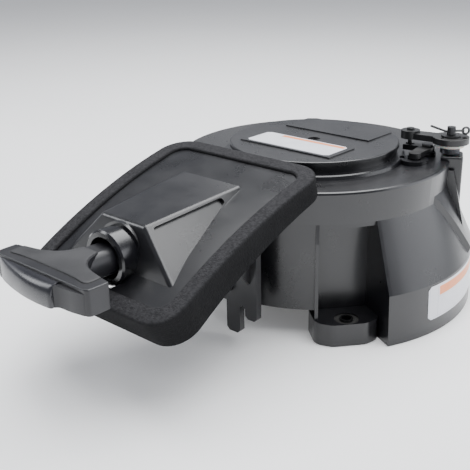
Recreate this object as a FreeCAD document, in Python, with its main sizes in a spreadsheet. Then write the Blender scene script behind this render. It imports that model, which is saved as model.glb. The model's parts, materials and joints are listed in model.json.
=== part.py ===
import FreeCAD, Part
import math
import os
import re
import Sketcher
from FreeCAD import Placement, Rotation, Vector

# Rope-pull (recoil) starter of an outboard engine, in millimetres.
# Origin: centre of the mounting bolt circle on the ears' underside. +Z runs up along the drum's
# spindle, the rope is pulled towards -Y, and azimuths are counted from -Y towards +X.

DIMENSIONS = [
    # moulded case
    ("flange_radius", 130.0, "top flange, outer edge"),
    ("flange_height", 136.0, "top flange, outer edge"),
    ("ledge_height", 133.4, "top flange, at the foot of the lid"),
    ("lid_radius", 82.0, "raised lid"),
    ("lid_height", 148.3, "top face of the lid"),
    ("lid_gauge", 3.9, "thickness of the lid's overhanging disc"),
    ("lid_overhang", 1.8, "lid disc past the lid wall"),
    ("band_radius", 128.7, "foot of the band below the flange"),
    ("band_height", 107.0, "foot of the band below the flange"),
    ("wall_radius", 127.5, "front wall"),
    ("wall_foot", 26.0, "lower edge of the front wall"),
    ("crease_radius", 155.5, "crease between cone and skirt"),
    ("crease_height", 47.0, "crease between cone and skirt"),
    ("skirt_radius", 157.5, "skirt at the bottom"),
    ("wall_gauge", 3.0, "moulded wall"),
    ("rim_round", 1.1, "softened rims of the lid and the flange"),
    ("step_width", 7.5, "step round the lid's foot"),
    ("step_height", 4.6, "step round the lid's foot"),
    ("spindle_boss_radius", 14.0, "boss under the lid"),
    ("spindle_boss_drop", 7.3, "boss depth below the lid's top"),
    ("pad_rise", 1.2, "label pads above the lid"),
    ("pad_half_length", 53.0, "front label pad"),
    ("pad_front", 48.0, "front label pad, front edge ahead of the axis"),
    ("pad_back", 8.3, "front label pad, rear edge ahead of the axis"),
    ("rear_pad_front", 22.6, "rear pad, front edge behind the axis"),
    ("rear_pad_back", 65.4, "rear pad, rear edge behind the axis"),
    ("rear_pad_right", 48.0, "rear pad, right edge"),
    # mounting ears
    ("ear_azimuth", 50.0, "first ear"),
    ("ear_bay", 12.0, "half angle of the recess above an ear"),
    ("bolt_circle_radius", 135.0, "ear holes"),
    ("ear_thickness", 20.8, "ear"),
    ("ear_reach", 12.0, "ear past its hole"),
    ("ear_half_width", 29.0, "ear"),
    ("ear_tip_half_width", 15.0, "ear's flat tip"),
    ("ear_hole_radius", 11.0, "hole for the grommet"),
    ("bay_radius", 114.0, "back wall of the recess above an ear"),
    ("bay_top", 103.0, "top of the recess above an ear"),
    ("collar_bore_radius", 4.3, "clearance for an M8 bolt"),
    ("collar_radius", 6.0, "steel collar"),
    ("collar_proud", 0.7, "collar above the ear"),
    # interlock post
    ("post_azimuth", 118.0, "post"),
    ("post_inner", 121.0, "post, inner face from the axis"),
    ("post_outer", 141.5, "post, outer face from the axis"),
    ("post_width", 22.0, "post"),
    ("post_foot", 62.0, "post, lowest point inside the cone"),
    ("post_top", 140.0, "post"),
    ("saddle_start", 90.0, "raised sector round the post"),
    ("saddle_sweep", 46.0, "raised sector round the post"),
    ("saddle_crown_azimuth", 94.0, "raised sector's front edge at the band"),
    ("saddle_heel_azimuth", 110.0, "raised sector's front edge at the crease"),
    ("saddle_rise", 3.5, "raised sector above the cone"),
    # guide housing: bent panel, snout and bracket plate
    ("panel_reach", 287.3, "panel's front edge ahead of the axis"),
    ("panel_front_height", 81.9, "panel's front edge"),
    ("panel_front_slope", 32.5, "slope of the panel at its front edge"),
    ("panel_arc", 22.6, "angle that the panel bends through"),
    ("panel_bend_radius", 523.0, "panel's bend"),
    ("panel_half_width", 87.0, "panel with its foam"),
    ("foam_width", 15.6, "foam strip"),
    ("foam_depth", 17.5, "foam strip at the panel's rear edge"),
    ("foam_taper", 3.0, "angle by which the foam deepens towards the front"),
    ("rim_depth", 15.0, "panel's turned-down rim, from the foam's face"),
    ("foam_proud", 2.5, "foam above the panel"),
    ("panel_corner", 27.0, "outer corner radius of the foam"),
    ("panel_inner_corner", 13.0, "corner radius of the panel inside the foam"),
    ("snout_front", 246.0, "snout's top front edge ahead of the axis"),
    ("snout_front_height", 135.5, "snout's top front edge"),
    ("snout_front_half_width", 25.0, "snout's top front edge"),
    ("snout_rear", 147.0, "snout's top rear edge ahead of the axis"),
    ("snout_rear_height", 144.2, "snout's top rear edge"),
    ("snout_rear_half_width", 33.0, "snout's top rear edge"),
    ("snout_foot_half_width", 62.0, "snout's front foot"),
    ("snout_foot_height", 98.0, "snout's front foot"),
    ("recess_depth", 3.4, "recesses in the snout's flanks"),
    ("snout_round", 4.0, "snout's upper edges"),
    ("snout_foot_lead", 9.0, "snout's front foot ahead of its top edge"),
    ("bracket_front", 152.0, "bracket plate's front face ahead of the axis"),
    ("bracket_gauge", 6.0, "bracket plate"),
    ("bracket_left", 58.0, "bracket plate, left edge"),
    ("bracket_right", 55.5, "bracket plate, right edge"),
    ("bracket_foot", 38.0, "bracket plate's lower edge"),
    ("fork_left", 20.5, "cable fork, left side of the long leg"),
    ("fork_slot_left", 36.0, "cable fork, slot"),
    ("fork_slot_right", 42.0, "cable fork, slot"),
    ("fork_long_foot", 9.0, "cable fork, long leg's foot"),
    ("fork_short_foot", 26.0, "cable fork, short leg's foot"),
    ("fork_slot_top", 37.0, "cable fork, slot's upper end"),
    ("screw_offset", 22.0, "bracket screws, sideways from the middle"),
    ("lower_screw_height", 52.0, "bracket screws"),
    ("upper_screw_height", 86.0, "bracket screws"),
    ("screw_radius", 3.0, "bracket screws, M6"),
    ("screw_head_radius", 5.6, "bracket screws"),
    ("screw_head_height", 5.0, "bracket screws"),
    ("screw_boss_radius", 7.0, "bosses on the case"),
    # rope line
    ("pull_height", 109.0, "rope groove and pull axis"),
    ("rope_radius", 2.5, "rope"),
    ("rope_pitch", 5.2, "distance between wound turns"),
    ("first_turn_radius", 54.5, "innermost wound turn"),
    ("window_half_width", 15.0, "rope window in the case and the bracket"),
    ("window_half_height", 9.0, "rope window"),
    ("ring_back", 247.0, "guide ring's back ahead of the axis"),
    ("ring_depth", 20.0, "guide ring"),
    ("ring_radius", 22.7, "guide ring"),
    ("ring_mouth_radius", 17.5, "guide ring's mouth"),
    ("ring_floor", 5.0, "guide ring's floor"),
    ("bush_radius", 9.0, "rope bush"),
    ("bush_bore_radius", 3.3, "rope bush"),
    # pull grip
    ("grip_half_length", 55.5, "grip"),
    ("grip_back", 307.0, "back of the grip's bar ahead of the axis"),
    ("grip_front", 337.0, "front of the grip ahead of the axis"),
    ("grip_end_front", 327.0, "flat front of the grip's bar"),
    ("badge_left", 50.0, "bulged front plate, left end"),
    ("badge_right", 24.0, "bulged front plate, right end"),
    ("badge_top", 117.5, "bulged front plate"),
    ("grip_foot", 99.3, "grip's lower face"),
    ("grip_top", 120.2, "grip's upper face"),
    ("stem_radius", 14.0, "grip's stem"),
    ("stem_end", 258.0, "inner end of the grip's stem"),
    ("insert_rise", 1.0, "soft insert above the grip"),
    # drum group
    ("spindle_radius", 10.0, "spindle"),
    ("spindle_neck_radius", 6.0, "spindle's neck in the lid"),
    ("spindle_foot", 87.6, "spindle's lower end"),
    ("running_clearance", 0.06, "shaft in its bush"),
    ("drum_bush_radius", 12.0, "bush in the drum's hub"),
    ("hub_radius", 19.0, "drum's hub"),
    ("hub_foot", 96.0, "drum's hub"),
    ("hub_top", 140.4, "drum's hub and spring cup"),
    ("groove_half_width", 3.0, "rope groove"),
    ("groove_floor_gap", 0.5, "rope groove's floor inside the first turn"),
    ("drum_flange_gauge", 3.0, "drum's lower flange"),
    ("drum_flange_radius", 84.0, "drum's lower flange"),
    ("lock_rim_radius", 94.0, "drum's toothed rim"),
    ("lock_rim_gauge", 6.0, "drum's toothed rim"),
    ("lock_notch_depth", 10.5, "notches in the rim"),
    ("lock_notch_width", 14.5, "notches in the rim"),
    ("lock_notch_count", 12, "notches in the rim"),
    ("cup_radius", 75.0, "spring cup"),
    ("cup_gauge", 2.6, "spring cup"),
    ("mainspring_gauge", 0.8, "mainspring strip"),
    ("mainspring_pitch", 4.4, "mainspring turns"),
    ("mainspring_turns", 10, "mainspring turns"),
    ("mainspring_inner", 23.0, "mainspring's inner turn"),
    ("mainspring_height", 16.0, "mainspring strip"),
    # pawls and drive plate
    ("pawl_pivot_radius", 38.0, "pawl pins from the axis"),
    ("pawl_pin_radius", 3.0, "pawl pins"),
    ("pawl_gauge", 5.6, "pawls"),
    ("pawl_gap", 0.5, "pawls below the drum"),
    ("pawl_peg_radius", 2.4, "cam pegs on the pawls"),
    ("pawl_peg_reach", 18.0, "cam pegs from the pawl pins"),
    ("plate_radius", 56.5, "drive plate"),
    ("plate_gauge", 3.6, "drive plate"),
    ("plate_foot", 88.2, "drive plate's lower face"),
    ("retaining_bolt_radius", 4.0, "bolt in the spindle's end"),
    # interlock
    ("lever_pivot_radius", 129.0, "lever's pivot from the axis"),
    ("lever_pivot_azimuth", 119.0, "lever's pivot"),
    ("lever_pin_radius", 4.0, "lever's pivot pin"),
    ("lever_disc_radius", 17.0, "lever's disc"),
    ("lever_foot", 150.2, "lever's lower face"),
    ("lever_gauge", 5.6, "lever's disc and arm"),
    ("lever_arm", 39.7, "lever's arm to its link pin"),
    ("lever_arm_azimuth", 280.2, "direction of the lever's arm"),
    ("lever_head_radius", 9.0, "block at the arm's end"),
    ("link_pin_radius", 2.0, "link pin"),
    ("stop_pivot_gap", 18.0, "stop pawl's pivot from the link pin"),
    ("stop_gauge", 5.0, "stop pawl"),
    ("stop_foot", 139.0, "stop pawl's lower face"),
    ("stop_pin_radius", 3.0, "stop pawl's pivot pin"),
    ("finger_azimuth", 108.0, "stop finger at rest"),
    ("finger_orbit", 99.0, "stop finger from the axis at rest"),
    ("finger_radius", 3.4, "stop finger"),
    ("finger_foot", 110.0, "stop finger's lower end"),
    # labels
    ("label_gauge", 0.3, "labels"),
    ("skirt_label_start", 78.0, "skirt label"),
    ("skirt_label_sweep", 40.0, "skirt label"),
    ("skirt_label_foot", 13.0, "skirt label above the case's foot"),
    ("skirt_label_top", 45.0, "skirt label above the case's foot"),
]

doc = FreeCAD.newDocument("recoil_starter")
sheet = doc.addObject("Spreadsheet::Sheet", "Sizes")
for row, (alias, number, meaning) in enumerate(DIMENSIONS, start=1):
    sheet.set(f"A{row}", meaning)
    sheet.set(f"B{row}", str(number))
    sheet.setAlias(f"B{row}", alias)
doc.recompute()


class Size:
    """A size known both as a number and as an expression on the spreadsheet."""

    def __init__(self, text, value):
        self.text = text
        self.value = value

    def __add__(self, other):
        other = as_size(other)
        return Size(f"({self.text} + {other.text})", self.value + other.value)

    def __sub__(self, other):
        other = as_size(other)
        return Size(f"({self.text} - {other.text})", self.value - other.value)

    def __mul__(self, other):
        other = as_size(other)
        return Size(f"({self.text} * {other.text})", self.value * other.value)

    def __truediv__(self, other):
        other = as_size(other)
        return Size(f"({self.text} / {other.text})", self.value / other.value)

    def __neg__(self):
        return Size(f"(0 - {self.text})", -self.value)

    def __radd__(self, other):
        return as_size(other) + self

    def __rsub__(self, other):
        return as_size(other) - self

    def __rmul__(self, other):
        return as_size(other) * self


def as_size(thing):
    return thing if isinstance(thing, Size) else Size(repr(float(thing)), float(thing))


def sine(angle):
    angle = as_size(angle)
    return Size(f"sin({angle.text})", math.sin(math.radians(angle.value)))


def cosine(angle):
    angle = as_size(angle)
    return Size(f"cos({angle.text})", math.cos(math.radians(angle.value)))


def root(number):
    return Size(f"sqrt({number.text})", math.sqrt(number.value))


class Sheet:
    """Gives each spreadsheet cell as a Size, by its alias."""

    def __getattr__(self, alias):
        return Size(f"Sizes.{alias}", float(sheet.get(alias)))


s = Sheet()
FORWARD = Rotation(Vector(1, 0, 0), 90)  # turns a piece's own +Z to -Y, the way the rope is pulled


# ---------------------------------------------------------------- helpers

def bind(item, path, amount):
    item.setExpression(path, as_size(amount).text)


def polar(radius, azimuth):
    return as_size(radius) * sine(azimuth), -(as_size(radius) * cosine(azimuth))


def new_body(name):
    body = doc.addObject("PartDesign::Body", name)
    body.Label = name
    return body


def sketch_on(body, role, offset=0.0):
    sketch = body.newObject("Sketcher::SketchObject", body.Name + "_sketch")
    plane = [item for item in body.Origin.OriginFeatures if item.Role == role][0]
    sketch.AttachmentSupport = [(plane, "")]
    sketch.MapMode = "FlatFace"
    offset = as_size(offset)
    sketch.AttachmentOffset = Placement(Vector(0, 0, offset.value), Rotation())
    bind(sketch, "AttachmentOffset.Base.z", offset)
    return sketch


def pin_point(sketch, geometry, position, across, up):
    for kind, amount in (("DistanceX", as_size(across)), ("DistanceY", as_size(up))):
        index = sketch.addConstraint(Sketcher.Constraint(kind, -1, 1, geometry, position, amount.value))
        bind(sketch, f"Constraints[{index}]", amount)


def polygon(sketch, corners):
    first = sketch.GeometryCount
    spots = [Vector(as_size(u).value, as_size(v).value, 0) for u, v in corners]
    count = len(spots)
    for index in range(count):
        sketch.addGeometry(Part.LineSegment(spots[index], spots[(index + 1) % count]), False)
    for index in range(count):
        following = first + (index + 1) % count
        sketch.addConstraint(Sketcher.Constraint("Coincident", first + index, 2, following, 1))
    for index, (across, up) in enumerate(corners):
        pin_point(sketch, first + index, 1, across, up)


def ring_line(sketch, across, up, radius):
    centre = Vector(as_size(across).value, as_size(up).value, 0)
    radius = as_size(radius)
    index = sketch.addGeometry(Part.Circle(centre, Vector(0, 0, 1), radius.value), False)
    pin_point(sketch, index, 3, across, up)
    constraint = sketch.addConstraint(Sketcher.Constraint("Radius", index, radius.value))
    bind(sketch, f"Constraints[{constraint}]", radius)


def pad(body, sketch, length, reverse=False, both_ways=False):
    feature = body.newObject("PartDesign::Pad", body.Name + "_pad")
    feature.Profile = sketch
    feature.Reversed = reverse
    if both_ways:
        feature.SideType = "Symmetric"
    feature.Length = as_size(length).value
    bind(feature, "Length", length)
    body.Tip = feature
    return feature


def pocket(body, sketch, length, reverse=False, both_ways=False):
    feature = body.newObject("PartDesign::Pocket", body.Name + "_pocket")
    feature.Profile = sketch
    feature.Reversed = reverse
    if both_ways:
        feature.SideType = "Symmetric"
    feature.Length = as_size(length).value
    bind(feature, "Length", length)
    body.Tip = feature
    return feature


def turned(name, corners, start=90.0, sweep=360.0):
    """A (radius, height) outline turned about +Z, from azimuth start through sweep degrees."""
    body = new_body(name)
    sketch = sketch_on(body, "XZ_Plane")
    polygon(sketch, corners)
    feature = body.newObject("PartDesign::Revolution", name + "_turn")
    feature.Profile = sketch
    feature.ReferenceAxis = (sketch, ["V_Axis"])
    feature.Angle = as_size(sweep).value
    bind(feature, "Angle", sweep)
    body.Tip = feature
    swing(body, as_size(start) - 90.0)
    return body


def swing(item, angle):
    """Turns an item about the vertical through its own origin."""
    item.Placement.Rotation = Rotation(Vector(0, 0, 1), as_size(angle).value)
    bind(item, "Placement.Rotation.Angle", angle)
    return item


def move(item, x=0.0, y=0.0, z=0.0):
    position = [as_size(amount) for amount in (x, y, z)]
    item.Placement.Base = Vector(*[amount.value for amount in position])
    for path, amount in zip("xyz", position):
        bind(item, f"Placement.Base.{path}", amount)
    return item


def prism(name, corners, foot, height):
    """A flat outline in X and Y, raised from foot by height."""
    body = new_body(name)
    sketch = sketch_on(body, "XY_Plane", foot)
    polygon(sketch, corners)
    pad(body, sketch, height)
    return body


def radial_plate(name, corners, azimuth, gauge, toward_start=False, both_ways=False):
    """A (radius, height) outline standing on one azimuth, thickened sideways."""
    body = new_body(name)
    sketch = sketch_on(body, "XZ_Plane")
    polygon(sketch, corners)
    pad(body, sketch, gauge, reverse=not toward_start, both_ways=both_ways)
    swing(body, as_size(azimuth) - 90.0)
    return body


def box(name, low, high):
    item = doc.addObject("Part::Box", name)
    for path, axis, near, far in zip(("Length", "Width", "Height"), "xyz", low, high):
        near, far = as_size(near), as_size(far)
        bind(item, path, far - near)
        bind(item, f"Placement.Base.{axis}", near)
    return item


def rod(name, x, y, foot, top, radius):
    item = doc.addObject("Part::Cylinder", name)
    bind(item, "Radius", radius)
    bind(item, "Height", as_size(top) - foot)
    return move(item, x, y, foot)


def rod_forward(name, x, z, back, front, radius):
    """A cylinder along -Y, from back to front, both counted ahead of the axis."""
    item = doc.addObject("Part::Cylinder", name)
    bind(item, "Radius", radius)
    bind(item, "Height", as_size(front) - back)
    item.Placement.Rotation = FORWARD
    return move(item, x, -as_size(back), z)


def fused(name, items):
    item = doc.addObject("Part::MultiFuse", name)
    item.Shapes = items
    item.Label = name
    return item


def cut(name, base, tools):
    tool = tools[0] if len(tools) == 1 else fused(name + "_cutters", tools)
    item = doc.addObject("Part::Cut", name)
    item.Base = base
    item.Tool = tool
    item.Label = name
    return item


def common(name, base, tool):
    item = doc.addObject("Part::Common", name)
    item.Base = base
    item.Tool = tool
    return item


def group(name, items):
    item = doc.addObject("Part::Compound", name)
    item.Links = items
    item.Label = name
    return item


def fixed_shape(name, shape):
    item = doc.addObject("Part::Feature", name)
    item.Shape = shape
    item.Label = name
    return item


def round_edges(body, radius, chosen):
    """Fillets the edges of a body's tip that chosen accepts."""
    doc.recompute()
    base = body.Tip
    names = [f"Edge{index}" for index, edge in enumerate(base.Shape.Edges, start=1) if chosen(edge)]
    feature = body.newObject("PartDesign::Fillet", body.Name + "_round")
    feature.Base = (base, names)
    feature.Radius = as_size(radius).value
    bind(feature, "Radius", radius)
    body.Tip = feature


def upright(edge):
    ends = [vertex.Point for vertex in edge.Vertexes]
    return len(ends) == 2 and (ends[0] - ends[1]).cross(Vector(0, 0, 1)).Length < 0.001


def level_at(height):
    def test(edge):
        return all(abs(vertex.Point.z - height.value) < 0.001 for vertex in edge.Vertexes)
    return test


# ---------------------------------------------------------------- moulded case

def cone_height(radius):
    fall = (s.band_height - s.crease_height) / (s.crease_radius - s.band_radius)
    return s.band_height - (as_size(radius) - s.band_radius) * fall


def bell(name, azimuth):
    """One sector of the cone and skirt, closed at both ends by a radial wall."""
    gauge = s.wall_gauge
    outline = [(s.band_radius, s.band_height), (s.crease_radius, s.crease_height), (s.skirt_radius, 0.0),
               (s.skirt_radius - gauge, 0.0), (s.crease_radius - gauge, s.crease_height),
               (s.band_radius - gauge, s.band_height)]
    end = [(s.bay_radius - gauge, 0.0), (s.skirt_radius - 5.0, 0.0), (s.skirt_radius - 0.4, 8.0),
           (s.crease_radius, s.crease_height), (s.band_radius, s.band_height),
           (s.wall_radius - gauge, s.band_height), (s.wall_radius - gauge, s.bay_top + gauge),
           (s.bay_radius - gauge, s.bay_top + gauge)]
    sweep = 120.0 - s.ear_bay * 2.0
    shell = turned(name + "_shell", outline, azimuth, sweep)
    first = radial_plate(name + "_first_end", end, azimuth, gauge)
    last = radial_plate(name + "_last_end", end, as_size(azimuth) + sweep, gauge, toward_start=True)
    return [shell, first, last]


def ear(name, azimuth):
    """The recess above one mounting ear, and the ear itself."""
    gauge = s.wall_gauge
    recess = [(s.bay_radius - gauge, 0.0), (s.bay_radius, 0.0), (s.bay_radius, s.bay_top),
              (s.wall_radius, s.bay_top), (s.wall_radius, s.band_height),
              (s.wall_radius - gauge, s.band_height), (s.wall_radius - gauge, s.bay_top + gauge),
              (s.bay_radius - gauge, s.bay_top + gauge)]
    bay = turned(name + "_bay", recess, azimuth - s.ear_bay, s.ear_bay * 2.0)
    tip = s.bolt_circle_radius + s.ear_reach
    shoulder = s.bolt_circle_radius + 4.0
    inner = s.bay_radius - 1.0
    tongue = prism(name + "_tongue", [(inner, -s.ear_half_width), (shoulder, -s.ear_half_width),
                                      (tip, -s.ear_tip_half_width), (tip, s.ear_tip_half_width),
                                      (shoulder, s.ear_half_width), (inner, s.ear_half_width)],
                   0.0, s.ear_thickness)

    def outer_corner(edge):
        return upright(edge) and edge.Vertexes[0].Point.x > shoulder.value - 0.1
    round_edges(tongue, 12.0, outer_corner)
    swing(tongue, azimuth - 90.0)
    return [bay, tongue]


def ear_rib(name, azimuth, toward_start):
    """The flared rib beside an ear where no bell sector closes the recess."""
    outline = [(s.bay_radius - s.wall_gauge, 0.0), (s.bolt_circle_radius - 2.0, 0.0),
               (s.bolt_circle_radius + 1.0, s.ear_thickness), (s.bolt_circle_radius - 3.0, 62.0),
               (s.band_radius + 2.5, 90.0), (s.band_radius, s.band_height),
               (s.wall_radius - s.wall_gauge, s.band_height),
               (s.wall_radius - s.wall_gauge, s.bay_top + s.wall_gauge),
               (s.bay_radius - s.wall_gauge, s.bay_top + s.wall_gauge)]
    return radial_plate(name, outline, azimuth, s.wall_gauge, toward_start=toward_start)


def stop_points():
    """Plan positions of the interlock: lever pivot, link pin, stop pivot and stop finger."""
    pivot = polar(s.lever_pivot_radius, s.lever_pivot_azimuth)
    arm = polar(1.0, s.lever_arm_azimuth)
    link = (pivot[0] + s.lever_arm * arm[0], pivot[1] + s.lever_arm * arm[1])
    stop = (link[0] - s.stop_pivot_gap * arm[0], link[1] - s.stop_pivot_gap * arm[1])
    finger = polar(s.finger_orbit, s.finger_azimuth)
    return pivot, link, stop, finger


def rope_line_x(ahead):
    """Sideways place of the straight rope lead at a distance ahead of the axis."""
    reach = s.ring_back
    turn = s.first_turn_radius + s.rope_pitch * 3.0
    leave_ahead = turn * turn / reach
    leave_side = root(turn * turn - leave_ahead * leave_ahead)
    return leave_side * (reach - ahead) / (reach - leave_ahead)


def make_case():
    gauge = s.wall_gauge
    lid_wall = s.lid_radius - s.lid_overhang
    neck = s.spindle_neck_radius + 0.05
    top = turned("case_top", [
        (neck, s.lid_height), (s.lid_radius - s.rim_round, s.lid_height),
        (s.lid_radius - s.rim_round * 0.3, s.lid_height - s.rim_round * 0.3),
        (s.lid_radius, s.lid_height - s.rim_round), (s.lid_radius, s.lid_height - s.lid_gauge),
        (lid_wall, s.lid_height - s.lid_gauge), (lid_wall, s.ledge_height + s.step_height),
        (lid_wall + s.step_width - 1.0, s.ledge_height + s.step_height - 0.4),
        (lid_wall + s.step_width, s.ledge_height + s.step_height - 1.4),
        (lid_wall + s.step_width + 0.8, s.ledge_height + 0.1),
        (s.flange_radius - s.rim_round * 2.0, s.flange_height),
        (s.flange_radius - s.rim_round * 0.6, s.flange_height - s.rim_round * 0.6),
        (s.flange_radius, s.flange_height - s.rim_round * 2.0), (s.band_radius, s.band_height),
        (s.band_radius - gauge, s.band_height), (s.flange_radius - gauge, s.flange_height - gauge),
        (lid_wall - gauge, s.ledge_height - gauge), (lid_wall - gauge, s.lid_height - gauge),
        (s.spindle_boss_radius, s.lid_height - gauge),
        (s.spindle_boss_radius, s.lid_height - s.spindle_boss_drop),
        (neck, s.lid_height - s.spindle_boss_drop)])
    wall = turned("case_wall", [
        (s.wall_radius - gauge, s.wall_foot), (s.wall_radius, s.wall_foot),
        (s.wall_radius, s.band_height), (s.wall_radius - gauge, s.band_height)],
        s.ear_azimuth - 120.0 + s.ear_bay, 120.0 - s.ear_bay * 2.0)
    solids = [top, wall]
    for number in range(3):
        solids += ear(f"ear_{number + 1}", s.ear_azimuth + 120.0 * number)
    for number in range(2):
        solids += bell(f"bell_{number + 1}", s.ear_azimuth + 120.0 * number + s.ear_bay)
    solids.append(ear_rib("right_ear_rib", s.ear_azimuth - s.ear_bay, False))
    solids.append(ear_rib("left_ear_rib", s.ear_azimuth + 240.0 + s.ear_bay, True))

    solids.append(box("front_label_pad", (-s.pad_half_length, -s.pad_front, s.lid_height - 1.0),
                      (s.pad_half_length, -s.pad_back, s.lid_height + s.pad_rise)))
    rear_box = box("rear_pad_box", (-s.pad_half_length, s.rear_pad_front, s.lid_height - 1.0),
                   (s.rear_pad_right, s.rear_pad_back, s.lid_height + s.pad_rise))
    rear_round = rod("rear_pad_round", 0.0, 0.0, s.lid_height - 2.0, s.lid_height + 3.0,
                     s.lid_radius - 2.5)
    solids.append(common("rear_label_pad", rear_box, rear_round))

    post = prism("post", [(s.post_inner, -s.post_width / 2.0), (s.post_outer, -s.post_width / 2.0),
                          (s.post_outer, s.post_width / 2.0), (s.post_inner, s.post_width / 2.0)],
                 s.post_foot, s.post_top - s.post_foot)
    round_edges(post, 2.5, lambda edge: upright(edge) or level_at(s.post_top)(edge))
    solids.append(swing(post, s.post_azimuth - 90.0))
    saddle = [(s.band_radius - 1.0, s.band_height + 10.0), (s.band_radius + s.saddle_rise, s.band_height),
              (s.crease_radius + 1.0, cone_height(s.crease_radius - s.saddle_rise)),
              (s.crease_radius - 2.0, s.crease_height), (s.band_radius - 2.0, s.band_height)]
    crown = polar(s.band_radius, s.saddle_crown_azimuth)
    heel = polar(s.crease_radius, s.saddle_heel_azimuth)
    past = (heel[0] * 2.0 - crown[0], heel[1] * 2.0 - crown[1])
    before = (crown[0] * 2.0 - heel[0], crown[1] * 2.0 - heel[1])
    behind = prism("saddle_bounds", [before, past, (0.0, past[1] + 60.0), (0.0, before[1])], 0.0, s.flange_height)
    raised = turned("saddle_sector", saddle, s.saddle_start, s.saddle_sweep)
    solids.append(common("post_saddle", raised, behind))
    gusset = [(s.band_radius - 2.0, s.band_height), (s.band_radius - 2.0, s.post_top - 12.0),
              (s.band_radius + 6.0, s.post_top - 12.0), (s.crease_radius - 7.0, cone_height(s.crease_radius - 10.0))]
    solids.append(radial_plate("post_gusset", gusset, s.post_azimuth - 7.0, gauge))

    pivot, link, stop, finger = stop_points()
    solids.append(rod("stop_boss", stop[0], stop[1], s.ledge_height - 5.0, s.stop_foot - 0.4, 8.0))
    solids.append(rod("finger_collar", finger[0], finger[1], s.ledge_height - 2.0, s.stop_foot - 1.0, 12.5))
    wall_depth = s.wall_radius - 10.0
    bosses = screw_spots("case_boss", wall_depth, s.bracket_front - s.bracket_gauge, s.screw_boss_radius)
    solids += bosses

    cutters = []
    for number in range(3):
        hole = polar(s.bolt_circle_radius, s.ear_azimuth + 120.0 * number)
        cutters.append(rod(f"ear_hole_{number + 1}", hole[0], hole[1], -1.0, s.ear_thickness + 1.0,
                           s.ear_hole_radius))
    cutters.append(rod("lever_pin_hole", pivot[0], pivot[1], s.post_top - 18.0, s.post_top + 1.0,
                       s.lever_pin_radius))
    cutters.append(rod("stop_pin_hole", stop[0], stop[1], s.ledge_height - 6.0, s.stop_foot,
                       s.stop_pin_radius))
    slot_in = polar(s.finger_orbit - 9.5, s.finger_azimuth + 2.4)
    slot_middle = ((finger[0] + slot_in[0]) / 2.0, (finger[1] + slot_in[1]) / 2.0)
    for name, spot in (("finger_slot_rest", finger), ("finger_slot_middle", slot_middle),
                       ("finger_slot_in", slot_in)):
        cutters.append(rod(name, spot[0], spot[1], s.ledge_height - 8.0, s.stop_foot, s.finger_radius + 2.2))
    inner_face = s.wall_radius - 12.0
    middle = rope_line_x(s.wall_radius - 8.0)
    cutters.append(box("case_rope_window",
                       (middle - s.window_half_width, -s.band_radius - 2.0, s.pull_height - s.window_half_height),
                       (middle + s.window_half_width, -inner_face + 8.0, s.pull_height + s.window_half_height)))
    cutters += screw_spots("case_thread", wall_depth + 4.0, s.bracket_front, s.screw_radius)
    return cut("starter_case", fused("case_blank", solids), cutters)


def screw_spots(name, back, front, radius):
    """Four cylinders along the bracket's screw axes."""
    spots = []
    for side in (-1.0, 1.0):
        for height in (s.lower_screw_height, s.upper_screw_height):
            label = f"{name}_{len(spots) + 1}"
            spots.append(rod_forward(label, s.screw_offset * side, height, back, front, radius))
    return spots


# ---------------------------------------------------------------- guide housing

def bend_centre():
    """Centre of the panel's bend: distance behind the axis and height."""
    back = s.panel_bend_radius * sine(s.panel_front_slope) - s.panel_reach
    height = s.panel_front_height - s.panel_bend_radius * cosine(s.panel_front_slope)
    return back, height


def panel_height(ahead, depth=0.0):
    """Height of the bent sheet's surface, depth below the foam's face, at a distance ahead."""
    back, height = bend_centre()
    radius = s.panel_bend_radius - depth
    run = as_size(ahead) + back
    return height + root(radius * radius - run * run)


def bent_plate(name, inset, top, bottom, corner):
    """A rounded rectangle bent about X: its edges lie inset from the foam's outer edges."""
    half_width = s.panel_half_width - inset
    degrees = as_size(inset) / s.panel_bend_radius * math.degrees(1.0)
    sweep = s.panel_arc - degrees * 2.0
    outer = s.panel_bend_radius - top
    inner = s.panel_bend_radius - bottom
    body = turned(name, [(inner, -half_width), (outer, -half_width), (outer, half_width),
                         (inner, half_width)], 90.0, sweep)

    def corner_edge(edge):
        ends = [vertex.Point for vertex in edge.Vertexes]
        return edge.Curve.TypeId == "Part::GeomLine" and abs(ends[0].z - ends[1].z) < 0.001
    round_edges(body, corner, corner_edge)
    body.setExpression("Placement.Rotation.Angle", None)
    back, height = bend_centre()
    start = math.radians(90.0 + (s.panel_front_slope - s.panel_arc + degrees).value)
    outward = Vector(0, math.cos(start), math.sin(start))
    sideways = Vector(1, 0, 0)
    turn = Rotation(outward, sideways.cross(outward), sideways, "ZXY")
    body.Placement = Placement(Vector(0, back.value, height.value), turn)
    return body


def ruled_block(name, front, rear, rounding=0.0):
    """A block between two many-cornered ends; rounding softens the edges at the front end's top corners."""
    wires = [Part.makePolygon([Vector(*corner) for corner in corners + corners[:1]])
             for corners in (front, rear)]
    block = Part.makeLoft(wires, True, True)
    if rounding:
        crowns = [Vector(*corner) for corner in front[:2]]
        edges = [edge for edge in block.Edges
                 if any((vertex.Point - crown).Length < 0.001 for vertex in edge.Vertexes for crown in crowns)]
        block = block.makeFillet(rounding, edges)
    return fixed_shape(name, block)


def mirrored_ends(top, bottom):
    """Corners of a four-sided end from its right-hand top and bottom corners."""
    return [top, (-top[0], top[1], top[2]), (-bottom[0], bottom[1], bottom[2]), bottom]


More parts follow.
